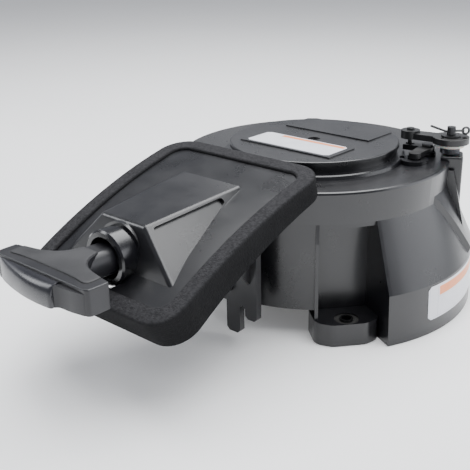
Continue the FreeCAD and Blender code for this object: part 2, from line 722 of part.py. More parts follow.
def make_guide_housing():
    gauge = s.wall_gauge
    rim = s.foam_width + 0.1
    tray = cut("panel_tray", bent_plate("tray_block", rim, s.foam_proud, s.rim_depth, s.panel_inner_corner),
               [bent_plate("tray_hollow", rim + gauge, s.foam_proud + gauge, s.rim_depth + 12.0,
                           s.panel_inner_corner - gauge)])
    front, rear = s.snout_front.value, s.snout_rear.value
    crown, heel = s.snout_front_height.value, s.snout_rear_height.value
    sole, lead = s.snout_foot_height.value, s.snout_foot_lead.value
    slim, wide = s.snout_front_half_width.value, s.snout_rear_half_width.value
    spread = s.snout_foot_half_width.value
    skin = gauge.value
    outer = ruled_block(
        "snout_block", mirrored_ends((slim, -front, crown), (spread, -front - lead, sole)),
        mirrored_ends((wide, -rear, heel), (wide + 4.0, -rear, heel - 5.0)), s.snout_round.value)
    hollow = ruled_block(
        "snout_hollow",
        mirrored_ends((slim - skin - 3.0, skin - front, crown - skin - 0.5),
                      (spread - 16.0, skin - front - lead + 2.0, sole - 9.0)),
        mirrored_ends((wide - skin - 4.0, -rear - 6.0, heel - skin - 0.6),
                      (wide - skin - 4.0, -rear - 6.0, heel - 22.0)))
    recesses = [side_recess(name, side) for name, side in (("right_recess", 1.0), ("left_recess", -1.0))]

    plate = new_body("bracket_plate")
    sketch = sketch_on(plate, "XZ_Plane", s.bracket_front - s.bracket_gauge)
    plate_top = panel_height(s.bracket_front, s.foam_proud + gauge - 1.0) - 0.5
    polygon(sketch, [
        (-s.bracket_left, s.bracket_foot), (s.fork_left, s.bracket_foot), (s.fork_left, s.fork_long_foot + 3.0),
        (s.fork_left + 3.0, s.fork_long_foot), (s.fork_slot_left - 3.0, s.fork_long_foot),
        (s.fork_slot_left, s.fork_long_foot + 3.0), (s.fork_slot_left, s.fork_slot_top - 2.0),
        (s.fork_slot_left + 2.0, s.fork_slot_top), (s.fork_slot_right - 2.0, s.fork_slot_top),
        (s.fork_slot_right, s.fork_slot_top - 2.0), (s.fork_slot_right, s.fork_short_foot + 3.0),
        (s.fork_slot_right + 3.0, s.fork_short_foot), (s.bracket_right - 3.0, s.fork_short_foot),
        (s.bracket_right, s.fork_short_foot + 3.0), (s.bracket_right, plate_top),
        (-s.bracket_left, plate_top)])
    pad(plate, sketch, s.bracket_gauge)
    seat = cut("ring_seat", rod_forward("ring_seat_disc", 0.0, s.pull_height, s.ring_back - 6.0, s.ring_back + 3.0,
                                        s.ring_radius + 2.5),
               [box("ring_seat_trim", (-s.ring_radius - 4.0, -s.ring_back - 4.0, s.pull_height - s.ring_radius - 4.0),
                    (s.ring_radius + 4.0, -s.ring_back + 7.0, s.snout_foot_height - 5.5))])
    ribs = []
    for side in (-1.0, 1.0):
        rib = new_body("bracket_rib")
        rib_sketch = sketch_on(rib, "YZ_Plane", s.bracket_left * side * 0.8)
        reach = s.bracket_front + 42.0
        polygon(rib_sketch, [(-s.bracket_front, s.bracket_foot + 22.0), (-reach, panel_height(reach, s.rim_depth)),
                             (-reach, panel_height(reach, s.foam_proud + 1.0)), (-s.bracket_front, plate_top)])
        pad(rib, rib_sketch, gauge, both_ways=True)
        ribs.append(rib)

    blank = fused("guide_blank", [tray, outer, plate, seat] + ribs)
    middle = rope_line_x(s.bracket_front)
    window = box("bracket_window",
                 (middle - s.window_half_width, -s.bracket_front - 2.0, s.pull_height - s.window_half_height),
                 (middle + s.window_half_width, -s.bracket_front + 8.0, s.pull_height + s.window_half_height))
    ring_hole = rod_forward("ring_hole", 0.0, s.pull_height, s.ring_back, s.ring_back + 30.0, s.ring_radius + 0.05)
    bush_hole = rod_forward("bush_hole", 0.0, s.pull_height, s.ring_back - 15.0, s.ring_back + 1.0,
                            s.bush_radius + 4.2)
    holes = screw_spots("bracket_hole", s.bracket_front - 10.0, s.bracket_front + 2.0, s.screw_radius + 0.3)
    return cut("guide_housing", blank, [hollow, window, ring_hole, bush_hole] + recesses + holes)


def side_recess(name, side):
    """The three-cornered recess in one flank of the snout."""
    top = Vector(s.snout_front_half_width.value, -s.snout_front.value, s.snout_front_height.value)
    tail = Vector(s.snout_rear_half_width.value, -s.snout_rear.value, s.snout_rear_height.value)
    foot = Vector(s.snout_foot_half_width.value, -s.snout_front.value - s.snout_foot_lead.value,
                  s.snout_foot_height.value)
    middle = (top + tail + foot) / 3.0
    corners = [middle + (corner - middle) * share for corner, share in ((top, 0.80), (tail, 0.84), (foot, 0.78))]
    for corner in corners:
        corner.x = corner.x * side
    normal = (corners[1] - corners[0]).cross(corners[2] - corners[0]).normalize()
    if normal.x * side > 0:
        normal = normal * -1.0
    face = Part.Face(Part.makePolygon([corner - normal * 4.0 for corner in corners + corners[:1]]))
    wedge = face.extrude(normal * (4.0 + s.recess_depth.value))
    depthwise = [edge for edge in wedge.Edges
                 if (edge.Vertexes[0].Point - edge.Vertexes[1].Point).cross(normal).Length < 0.001]
    return fixed_shape(name, wedge.makeFillet(3.0, depthwise))


def make_foam():
    """A bent frame of foam whose back face falls away from its front face towards the front."""
    spare = 20.0
    outer = bent_plate("foam_block", 0.0, 0.0, s.foam_depth + spare, s.panel_corner)
    core = bent_plate("foam_core", s.foam_width, -2.0, s.foam_depth + spare + 2.0, s.panel_inner_corner + 0.1)
    under = bent_plate("foam_under", -15.0, s.foam_depth, s.foam_depth + spare + 15.0, 2.0)
    back, height = bend_centre()
    rear_slope = math.radians((s.panel_front_slope - s.panel_arc).value)
    reach = (s.panel_bend_radius - s.foam_depth).value
    rear_edge = Vector(0, back.value - reach * math.sin(rear_slope), height.value + reach * math.cos(rear_slope))
    drop = Placement(Vector(0, 0, 0), Rotation(Vector(1, 0, 0), s.foam_taper.value), rear_edge)
    under.Placement = drop.multiply(under.Placement)
    over_flange = rod("foam_relief", 0.0, 0.0, 90.0, s.flange_height + 0.3, s.flange_radius + 1.0)
    return cut("foam_gasket", outer, [core, under, over_flange])


def make_guide_ring():
    depth = s.ring_depth
    ring = turned("guide_ring", [
        (s.bush_radius + 0.05, 0.0), (s.ring_radius, 0.0), (s.ring_radius, depth - 1.5),
        (s.ring_radius - 1.5, depth), (s.ring_mouth_radius, depth), (s.ring_mouth_radius - 1.0, depth - 1.5),
        (s.ring_mouth_radius - 1.0, s.ring_floor), (s.bush_radius + 0.05, s.ring_floor)])
    return aim_forward(ring, s.ring_back)


def aim_forward(body, ahead):
    """Lays a turned piece along the pull axis, its own origin a distance ahead of the drum."""
    body.setExpression("Placement.Rotation.Angle", None)
    body.Placement.Rotation = FORWARD
    return move(body, 0.0, -as_size(ahead), s.pull_height)


def make_rope_bush():
    bore = s.bush_bore_radius
    bush = turned("rope_bush", [
        (bore + 4.5, -4.0), (s.bush_radius + 3.0, -4.0), (s.bush_radius + 3.0, -0.1),
        (s.bush_radius, -0.1), (s.bush_radius, s.ring_floor + 0.4), (bore + 1.2, s.ring_floor + 0.4),
        (bore, s.ring_floor - 0.8), (bore, 3.0), (bore + 1.2, 0.0)])
    return aim_forward(bush, s.ring_back)


def make_bracket_screws():
    shanks = screw_spots("screw_shank", s.wall_radius - 4.0, s.bracket_front + 1.0, s.screw_radius)
    heads = screw_spots("screw_head", s.bracket_front, s.bracket_front + s.screw_head_height, s.screw_head_radius)
    sockets = screw_spots("screw_socket", s.bracket_front + 2.0, s.bracket_front + 9.0, 2.5)
    screws = []
    for number, (shank, head, socket) in enumerate(zip(shanks, heads, sockets), start=1):
        blank = fused(f"screw_blank_{number}", [shank, head])
        screws.append(cut(f"screw_{number}", blank, [socket]))
    return group("bracket_screws", screws)


# ---------------------------------------------------------------- ears' grommets, labels

def at_ears(name, corners):
    """A turned piece repeated at the three ears."""
    pieces = []
    for number in range(3):
        piece = turned(f"{name}_{number + 1}", corners)
        spot = polar(s.bolt_circle_radius, s.ear_azimuth + 120.0 * number)
        pieces.append(move(piece, spot[0], spot[1]))
    return group(name, pieces)


def make_labels():
    face = s.lid_height + s.pad_rise
    lid = prism("lid_label", [
        (5.0 - s.pad_half_length, 3.0 - s.pad_front), (s.pad_half_length - 5.0, 3.0 - s.pad_front),
        (s.pad_half_length - 5.0, -s.pad_back - 2.0), (5.0 - s.pad_half_length, -s.pad_back - 2.0)],
        face, s.label_gauge)
    round_edges(lid, 2.0, upright)
    taper = (s.skirt_radius - s.crease_radius) / s.crease_height
    low = s.skirt_radius - s.skirt_label_foot * taper
    high = s.skirt_radius - s.skirt_label_top * taper
    skirt = turned("skirt_label", [
        (low, s.skirt_label_foot), (low + s.label_gauge, s.skirt_label_foot),
        (high + s.label_gauge, s.skirt_label_top), (high, s.skirt_label_top)],
        s.skirt_label_start, s.skirt_label_sweep)
    return [lid, skirt]


# ---------------------------------------------------------------- drum group

def make_spindle():
    bolt = s.retaining_bolt_radius
    shoulder = s.lid_height - s.spindle_boss_drop
    return turned("drum_spindle", [
        (0.0, s.spindle_foot + 18.0), (bolt, s.spindle_foot + 18.0), (bolt, s.spindle_foot),
        (s.spindle_radius, s.spindle_foot), (s.spindle_radius, shoulder),
        (s.spindle_neck_radius, shoulder), (s.spindle_neck_radius, s.lid_height - 2.0),
        (3.0, s.lid_height - 2.0), (3.0, s.lid_height - 6.0), (0.0, s.lid_height - 6.0)])


def make_drum():
    lower = s.pull_height - s.groove_half_width - s.drum_flange_gauge
    groove_low = s.pull_height - s.groove_half_width
    groove_high = s.pull_height + s.groove_half_width
    rim_top = groove_high + s.lock_rim_gauge
    floor = s.first_turn_radius - s.rope_radius - s.groove_floor_gap
    cup_in = s.cup_radius - s.cup_gauge
    drum = turned("rope_drum", [
        (s.drum_bush_radius, s.hub_foot), (s.hub_radius, s.hub_foot), (s.hub_radius, lower),
        (s.drum_flange_radius, lower), (s.drum_flange_radius, groove_low), (floor, groove_low),
        (floor, groove_high), (s.lock_rim_radius, groove_high), (s.lock_rim_radius, rim_top),
        (s.cup_radius, rim_top), (s.cup_radius, s.hub_top), (cup_in, s.hub_top), (cup_in, rim_top),
        (s.hub_radius, rim_top), (s.hub_radius, s.hub_top), (s.drum_bush_radius, s.hub_top)])
    notch_spot = engaged_finger_azimuth()
    sketch = sketch_on(drum, "XY_Plane", groove_high - 1.0)
    depth_radius = s.lock_rim_radius - s.lock_notch_depth
    half = s.lock_notch_width / 2.0
    ray, side = polar(1.0, notch_spot), polar(1.0, notch_spot + 90.0)
    corners = []
    for along, across in ((depth_radius, -half), (s.lock_rim_radius + 2.0, -half),
                          (s.lock_rim_radius + 2.0, half), (depth_radius, half)):
        corners.append((along * ray[0] + across * side[0], along * ray[1] + across * side[1]))
    polygon(sketch, corners)
    notch = pocket(drum, sketch, s.lock_rim_gauge + 2.0, reverse=True)
    pattern = drum.newObject("PartDesign::PolarPattern", "lock_notches")
    pattern.Originals = [notch]
    axis = [item for item in drum.Origin.OriginFeatures if item.Role == "Z_Axis"][0]
    pattern.Axis = (axis, [""])
    pattern.Angle = 360
    pattern.Occurrences = int(s.lock_notch_count.value)
    drum.Tip = pattern
    holes = sketch_on(drum, "XY_Plane", lower - 1.0)
    for number in range(2):
        spot = polar(s.pawl_pivot_radius, 90.0 + 180.0 * number)
        ring_line(holes, spot[0], spot[1], s.pawl_pin_radius)
    pocket(drum, holes, 9.0, reverse=True)
    return drum


def engaged_finger_azimuth():
    """Azimuth of the stop finger after the stop pawl has swung in by its full travel."""
    pivot, link, stop, finger = stop_points()
    swing_angle = math.radians(STOP_TRAVEL)
    across = finger[0].value - stop[0].value
    along = finger[1].value - stop[1].value
    x = stop[0].value + across * math.cos(swing_angle) + along * math.sin(swing_angle)
    y = stop[1].value - across * math.sin(swing_angle) + along * math.cos(swing_angle)
    return math.degrees(math.atan2(x, -y))


def make_mainspring():
    """A flat spiral of half-circle arcs in the drum's spring cup."""
    gauge, step = s.mainspring_gauge.value, s.mainspring_pitch.value / 2.0
    foot = (s.pull_height + s.groove_half_width + s.lock_rim_gauge).value + 1.6
    edges = []
    ends = []
    for shift in (0.0, gauge):
        radius = s.mainspring_inner.value + shift
        side, centre = 1.0, 0.0
        start = Vector(radius, 0, foot)
        ends.append(start)
        for half_turn in range(int(2 * s.mainspring_turns.value)):
            stop = Vector(centre - side * radius, 0, foot)
            crest = Vector(centre, radius * side, foot)
            edges.append(Part.Arc(start, crest, stop).toShape())
            start = stop
            radius += step
            centre += side * step
            side = -side
        ends.append(start)
    edges.append(Part.LineSegment(ends[0], ends[2]).toShape())
    edges.append(Part.LineSegment(ends[1], ends[3]).toShape())
    wire = Part.Wire(Part.__sortEdges__(edges))
    strip = Part.Face(wire).extrude(Vector(0, 0, s.mainspring_height.value))
    return fixed_shape("mainspring", strip)


def make_wound_rope():
    turns = []
    for number in range(4):
        turn = doc.addObject("Part::Torus", f"rope_turn_{number + 1}")
        bind(turn, "Radius1", s.first_turn_radius + s.rope_pitch * number)
        bind(turn, "Radius2", s.rope_radius)
        turns.append(move(turn, 0.0, 0.0, s.pull_height))
    return group("rope_wound", turns)


def make_rope_lead():
    """The rope from the outermost turn through the bush to the knot in the grip."""
    turn = (s.first_turn_radius + s.rope_pitch * 3.0).value + 0.3
    height = s.pull_height.value
    bend_ahead = s.ring_back.value
    leave_ahead = turn * turn / bend_ahead
    leave = Vector(math.sqrt(turn * turn - leave_ahead * leave_ahead), -leave_ahead, height)
    bend = Vector(0, -bend_ahead, height)
    slant = (leave - bend).normalize()
    ahead = Vector(0, -1, 0)
    half = math.radians(180.0 - math.degrees(slant.getAngle(ahead))) / 2.0
    radius = 30.0
    reach = radius * math.tan(half)
    arc_start, arc_end = bend + slant * reach, bend + ahead * reach
    inward = (slant + ahead).normalize()
    arc_middle = bend + inward * (radius / math.cos(half) - radius)
    knot = Vector(0, -s.grip_front.value + 13.0, height)
    leave = leave - slant * 28.0
    path = Part.Wire([Part.LineSegment(leave, arc_start).toShape(),
                      Part.Arc(arc_start, arc_middle, arc_end).toShape(),
                      Part.LineSegment(arc_end, knot).toShape()])
    profile = Part.Wire([Part.Circle(leave, slant, s.rope_radius.value).toShape()])
    tube = path.makePipeShell([profile], True, True)
    expected = math.pi * s.rope_radius.value ** 2 * path.Length
    print("rope lead: length", round(path.Length, 1), "volume ratio", round(tube.Volume / expected, 4))
    return fixed_shape("rope_lead", tube)


def make_pawl(name, side):
    """One drive pawl below the drum, with its cam peg, side being 0 or 180 degrees."""
    lower = s.pull_height - s.groove_half_width - s.drum_flange_gauge
    top = lower - s.pawl_gap
    foot = top - s.pawl_gauge
    pivot = s.pawl_pivot_radius
    arm = prism(name + "_arm", [
        (pivot - 7.0, -5.0), (pivot + 6.0, -6.0), (pivot + 7.0, 6.0), (pivot + 3.0, 24.0),
        (pivot - 1.0, 36.0), (pivot - 9.0, 33.0), (pivot - 6.5, 18.0), (pivot - 7.5, 5.0)], foot, s.pawl_gauge)
    peg = rod(name + "_peg", pivot, s.pawl_peg_reach, s.plate_foot + 0.2, foot + 1.0, s.pawl_peg_radius)
    bore = rod(name + "_bore", pivot, 0.0, foot - 1.0, top + 1.0, s.pawl_pin_radius + s.running_clearance)
    pawl = cut(name, fused(name + "_blank", [arm, peg]), [bore])
    pawl.Placement.Rotation = Rotation(Vector(0, 0, 1), side)
    return pawl


def make_pawl_pins():
    lower = s.pull_height - s.groove_half_width - s.drum_flange_gauge
    foot = lower - s.pawl_gap - s.pawl_gauge - 0.4
    pins = []
    for number in range(2):
        spot = polar(s.pawl_pivot_radius, 90.0 + 180.0 * number)
        stem = rod(f"pawl_stem_{number + 1}", spot[0], spot[1], foot, lower + 7.5, s.pawl_pin_radius)
        head = rod(f"pawl_head_{number + 1}", spot[0], spot[1], foot - 1.6, foot, s.pawl_pin_radius + 2.0)
        pins.append(fused(f"pawl_pin_{number + 1}", [stem, head]))
    return group("pawl_pins", pins)


def make_drive_plate():
    plate = turned("plate_blank", [
        (s.spindle_radius + s.running_clearance, s.plate_foot), (s.plate_radius, s.plate_foot),
        (s.plate_radius, s.plate_foot + s.plate_gauge),
        (s.spindle_radius + s.running_clearance, s.plate_foot + s.plate_gauge)])
    slots = []
    for number in range(2):
        points = []
        for share in (0.0, 0.2, 0.4, 0.6, 0.8, 1.0):
            swung = math.radians(PAWL_TRAVEL * share)
            turned_back = math.radians(PLATE_TRAVEL * share)
            reach = s.pawl_peg_reach.value
            x = s.pawl_pivot_radius.value + reach * math.sin(swung)
            y = reach * math.cos(swung)
            points.append(Vector(x * math.cos(turned_back) + y * math.sin(turned_back),
                                 y * math.cos(turned_back) - x * math.sin(turned_back), 0))
        slot = cam_slot(points, s.pawl_peg_radius.value + 0.5)
        slot.translate(Vector(0, 0, s.plate_foot.value - 2.0))
        slot.rotate(Vector(0, 0, 0), Vector(0, 0, 1), 180.0 * number)
        slots.append(fixed_shape(f"cam_slot_{number + 1}", slot))
    return cut("drive_plate", plate, slots)


def cam_slot(points, radius):
    """A slot of round-ended links along a row of points."""
    height = 10.0
    slot = Part.makeCylinder(radius, height, points[0])
    for near, far in zip(points, points[1:]):
        along = (far - near).normalize()
        across = Vector(-along.y, along.x, 0) * radius
        corners = [near + across, far + across, far - across, near - across, near + across]
        link = Part.Face(Part.makePolygon(corners)).extrude(Vector(0, 0, height))
        slot = slot.fuse([link, Part.makeCylinder(radius, height, far)])
    return slot.removeSplitter()


def make_retaining_bolt():
    bolt = s.retaining_bolt_radius
    washer_foot = s.spindle_foot - 2.0
    shank = rod("bolt_shank", 0.0, 0.0, washer_foot, s.spindle_foot + 16.0, bolt)
    head = new_body("bolt_head")
    sketch = sketch_on(head, "XY_Plane", washer_foot - 6.5)
    across = bolt * 1.85
    polygon(sketch, [(across * cosine(60.0 * corner), across * sine(60.0 * corner)) for corner in range(6)])
    pad(head, sketch, 6.5)
    washer = turned("retaining_washer", [
        (bolt + 0.2, washer_foot), (15.0, washer_foot), (15.0, s.spindle_foot), (bolt + 0.2, s.spindle_foot)])
    spring = turned("brake_spring", [
        (s.spindle_radius + 0.8, s.plate_foot + s.plate_gauge + 0.3), (15.0, s.plate_foot + s.plate_gauge + 1.2),
        (15.0, s.hub_foot - 0.2), (s.spindle_radius + 0.8, s.hub_foot - 1.2)])
    return [fused("retaining_bolt", [shank, head]), washer, spring]


# ---------------------------------------------------------------- interlock

def lever_outline(start, end, start_half, end_half):
    """Four corners of a tapered arm between two plan points."""
    run = (end[0] - start[0], end[1] - start[1])
    length = root(run[0] * run[0] + run[1] * run[1])
    along = (run[0] / length, run[1] / length)
    across = (-along[1], along[0])
    return [(start[0] + across[0] * start_half, start[1] + across[1] * start_half),
            (start[0] - across[0] * start_half, start[1] - across[1] * start_half),
            (end[0] - across[0] * end_half, end[1] - across[1] * end_half),
            (end[0] + across[0] * end_half, end[1] + across[1] * end_half)]


def make_interlock():
    pivot, link, stop, finger = stop_points()
    top = s.lever_foot + s.lever_gauge
    disc = rod("lever_disc", pivot[0], pivot[1], s.lever_foot, top, s.lever_disc_radius)
    head = rod("lever_head", link[0], link[1], s.lever_foot, top + 2.0, s.lever_head_radius)
    arm = prism("lever_arm_web", lever_outline(pivot, link, 8.0, 7.0), s.lever_foot, s.lever_gauge)
    bore = rod("lever_bore", pivot[0], pivot[1], s.lever_foot - 1.0, top + 1.0,
               s.lever_pin_radius + s.running_clearance)
    link_bore = rod("link_bore", link[0], link[1], s.lever_foot - 1.0, top + 3.0, s.link_pin_radius)
    cable_spot = (pivot[0] + 12.8, pivot[1] + 2.4)
    cable_bore = rod("cable_bore", cable_spot[0], cable_spot[1], s.lever_foot - 1.0, top + 1.0, 2.4)
    spring_spot = (pivot[0] - 3.0, pivot[1] - 11.0)
    spring_bore = rod("spring_bore", spring_spot[0], spring_spot[1], s.lever_foot - 1.0, top + 1.0, 1.8)
    lever = cut("interlock_lever", fused("lever_blank", [disc, head, arm]),
                [bore, link_bore, cable_bore, spring_bore])

    link_pin = fused("link_pin", [
        rod("link_stem", link[0], link[1], s.stop_foot + 0.3, top + 2.0, s.link_pin_radius),
        rod("link_head", link[0], link[1], top + 2.0, top + 4.0, s.link_pin_radius + 1.6)])

    plate = prism("stop_plate", lever_outline(stop, finger, 7.0, 5.0), s.stop_foot, s.stop_gauge)
    hub = rod("stop_hub", stop[0], stop[1], s.stop_foot, s.stop_foot + s.stop_gauge, 7.5)
    nose = rod("stop_nose", finger[0], finger[1], s.stop_foot, s.stop_foot + s.stop_gauge, 5.6)
    tail_end = (link[0] + (link[0] - stop[0]) * 0.28, link[1] + (link[1] - stop[1]) * 0.28)
    tail = prism("stop_tail", lever_outline(stop, tail_end, 6.0, 5.5), s.stop_foot, s.stop_gauge)
    finger_rod = rod("stop_finger", finger[0], finger[1], s.finger_foot, s.stop_foot + 1.0, s.finger_radius)
    near = (link[0] - (link[0] - stop[0]) * 0.12, link[1] - (link[1] - stop[1]) * 0.12)
    far = (link[0] + (link[0] - stop[0]) * 0.40, link[1] + (link[1] - stop[1]) * 0.40)
    fork = prism("stop_fork", lever_outline(near, far, s.link_pin_radius + 0.4, s.link_pin_radius + 0.4),
                 s.stop_foot - 1.0, s.stop_gauge + 2.0)
    fork_end = rod("stop_fork_end", near[0], near[1], s.stop_foot - 1.0, s.stop_foot + s.stop_gauge + 1.0,
                   s.link_pin_radius + 0.4)
    stop_bore = rod("stop_bore", stop[0], stop[1], s.stop_foot - 1.0, s.stop_foot + s.stop_gauge + 1.0,
                    s.stop_pin_radius + s.running_clearance)
    stop_pawl = cut("stop_pawl", fused("stop_blank", [plate, hub, nose, tail, finger_rod]),
                    [fork, fork_end, stop_bore])

    stop_top = s.stop_foot + s.stop_gauge
    stop_pin = fused("stop_pivot_pin", [
        rod("stop_stem", stop[0], stop[1], s.ledge_height - 4.0, stop_top + 0.4, s.stop_pin_radius),
        rod("stop_cap", stop[0], stop[1], stop_top + 0.4, stop_top + 2.0, s.stop_pin_radius + 2.5)])

    pin_blank = rod("lever_stem", pivot[0], pivot[1], s.post_top - 17.5, s.lever_foot + 15.0, s.lever_pin_radius)
    cross = rod_forward("cotter_hole", 0.0, 0.0, -8.0, 8.0, 1.5)
    cross.Placement.Rotation = Rotation(Vector(0, 0, 1), COTTER_TURN).multiply(FORWARD)
    ray = polar(8.0, COTTER_TURN)
    move(cross, pivot[0] - ray[0], pivot[1] - ray[1], s.lever_foot + 11.0)
    lever_pin = cut("lever_pivot_pin", pin_blank, [cross])

    def ring(name, foot, height, outer):
        body = turned(name, [(s.lever_pin_radius + 0.1, foot), (outer, foot), (outer, foot + height),
                             (s.lever_pin_radius + 0.1, foot + height)])
        return move(body, pivot[0], pivot[1])
    nylon = ring("nylon_washer", s.lever_foot - 3.3, 3.0, 13.0)
    washer = ring("lever_washer", top + 0.3, 1.4, 9.0)
    spring = turned("lever_spring", [(7.0, s.post_top + 0.2), (9.4, s.post_top + 0.2),
                                     (9.4, s.lever_foot - 3.5), (7.0, s.lever_foot - 3.5)])
    move(spring, pivot[0], pivot[1])
    return [lever, link_pin, stop_pawl, stop_pin, lever_pin, nylon, washer, spring, make_cotter(pivot)]


def make_cotter(pivot):
    """A split pin through the top of the lever's pivot pin, its loop on the left."""
    height = s.lever_foot.value + 11.0
    wire_radius = 1.1
    spots = [Vector(0, -12, 0), Vector(0, 6, 0), Vector(0, 19, 5)]
    loop = Part.makeTorus(3.0, wire_radius)
    loop.rotate(Vector(0, 0, 0), Vector(0, 1, 0), 90)
    loop.translate(Vector(0, -13.5, 0))
    shape = loop
    for near, far in zip(spots, spots[1:]):
        leg = far - near
        shape = shape.fuse([Part.makeCylinder(wire_radius, leg.Length, near, leg),
                            Part.makeSphere(wire_radius, far)])
    shape.rotate(Vector(0, 0, 0), Vector(0, 0, 1), COTTER_TURN)
    shape.translate(Vector(pivot[0].value, pivot[1].value, height))
    return fixed_shape("cotter_pin", shape)


# ---------------------------------------------------------------- pull grip

def make_grip():
    bar_end = s.grip_half_length
    height = s.grip_top - s.grip_foot
    hips = [(40.0, 4.0 - s.grip_back), (25.0, 5.5 - s.grip_back), (15.0, 13.0 - s.grip_back),
            (9.0, 27.0 - s.grip_back)]
    bar = prism("grip_bar", [(-bar_end, -s.grip_back), (-bar_end, -s.grip_end_front), (bar_end, -s.grip_end_front),
                             (bar_end, -s.grip_back)] + hips + [(-x, y) for x, y in reversed(hips)],
                s.grip_foot, height)
    round_edges(bar, 3.0, lambda edge: upright(edge) and abs(edge.Vertexes[0].Point.x) > bar_end.value - 1.0)
    stem = common("grip_stem", rod_forward("stem_round", 0.0, s.pull_height, s.stem_end, s.grip_back + 6.0,
                                           s.stem_radius),
                  box("stem_flats", (-30.0, -s.grip_back - 10.0, s.grip_foot), (30.0, -200.0, s.grip_top)))
    bore = rod_forward("rope_bore", 0.0, s.pull_height, s.stem_end - 1.0, s.grip_front - 16.0, s.rope_radius + 0.4)
    pocket_hole = rod_forward("knot_pocket", 0.0, s.pull_height, s.grip_front - 24.0, s.grip_front, 6.5)
    body = cut("grip_body", fused("grip_blank", [bar, stem]), [bore, pocket_hole])

    flanks = [(46.0, -s.grip_back - 0.5), (38.0, 3.2 - s.grip_back), (24.0, 4.6 - s.grip_back),
              (14.0, 12.0 - s.grip_back), (8.2, 26.0 - s.grip_back)]
    seam = [(-46.0, -s.grip_back - 10.0), (-42.0, -s.grip_back - 14.0), (-17.0, -s.grip_back - 12.0),
            (17.0, -s.grip_back - 12.0), (42.0, -s.grip_back - 14.0), (46.0, -s.grip_back - 10.0)]
    insert = prism("grip_insert", seam + flanks + [(-x, y) for x, y in reversed(flanks)],
                   s.grip_top, s.insert_rise)
    left, right, flat = s.badge_left.value, s.badge_right.value, -s.grip_end_front.value
    belly = s.grip_front.value - s.grip_end_front.value
    plan = [(-left, 0.0), (-left, 0.06), (-left * 0.6, 0.55), (-left * 0.17, 0.92), (right * 0.33, 1.0),
            (right - 2.0, 0.90), (right, 0.70), (right, 0.0)]
    lower = [(x, flat - belly * bulge, s.grip_foot.value + 0.3) for x, bulge in plan]
    upper = [(x, flat - belly * bulge * 0.3, s.badge_top.value) for x, bulge in plan]
    badge = ruled_block("grip_badge", lower, upper)
    retainer = turned("knot_retainer", [
        (s.rope_radius + 0.3, 0.0), (6.2, 0.0), (6.2, 3.0), (s.rope_radius + 0.3, 3.0)])
    aim_forward(retainer, s.grip_front - 23.5)
    return [body, insert, badge, retainer]


# ---------------------------------------------------------------- assembly

COTTER_TURN = 132.0       # direction of the split pin about the vertical
STOP_TRAVEL = 22.0        # degrees that the stop pawl swings in
PAWL_TRAVEL = 28.0        # degrees that a drive pawl swings out
PLATE_TRAVEL = 25.0       # degrees that the drive plate turns on the drum

nodes = [make_case(), make_guide_housing(), make_foam(), make_guide_ring(), make_rope_bush(),
         make_bracket_screws(), make_spindle(), make_drum(), make_mainspring(), make_wound_rope(),
         make_rope_lead(), make_pawl("drive_pawl_a", 0.0), make_pawl("drive_pawl_b", 180.0),
         make_pawl_pins(), make_drive_plate()]
nodes.append(at_ears("ear_grommets", [
    (s.collar_radius + 0.05, 0.0), (s.ear_hole_radius, 0.0), (s.ear_hole_radius, s.ear_thickness - 1.5),
    (s.collar_radius + 0.05, s.ear_thickness - 1.5)]))
nodes.append(at_ears("ear_collars", [
    (s.collar_bore_radius, 0.0), (s.collar_radius, 0.0), (s.collar_radius, s.ear_thickness + s.collar_proud),
    (s.collar_bore_radius, s.ear_thickness + s.collar_proud)]))
nodes.append(turned("drum_bush", [
    (s.spindle_radius + s.running_clearance, s.hub_foot), (s.drum_bush_radius, s.hub_foot),
    (s.drum_bush_radius, s.hub_top), (s.spindle_radius + s.running_clearance, s.hub_top)]))
nodes += make_labels() + make_retaining_bolt() + make_interlock() + make_grip()
doc.recompute()

faulty = [item.Name for item in doc.Objects if "Invalid" in item.State or "Error" in item.State]
if faulty:
    raise RuntimeError("objects that failed: " + ", ".join(faulty))
for node in nodes:
    if node.Shape.isNull() or not node.Shape.isValid():
        raise RuntimeError("bad shape: " + node.Label)

os.makedirs("parts", exist_ok=True)
for node in nodes:
    node.Shape.exportStep(f"parts/{node.Label}.step")
print(len(nodes), "nodes written")
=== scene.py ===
"""Looks of a rope-pull recoil starter: case, foam-sealed guide, T-grip, rope and interlock."""

import json
import math

import bmesh
import bpy
from mathutils import Matrix, Vector


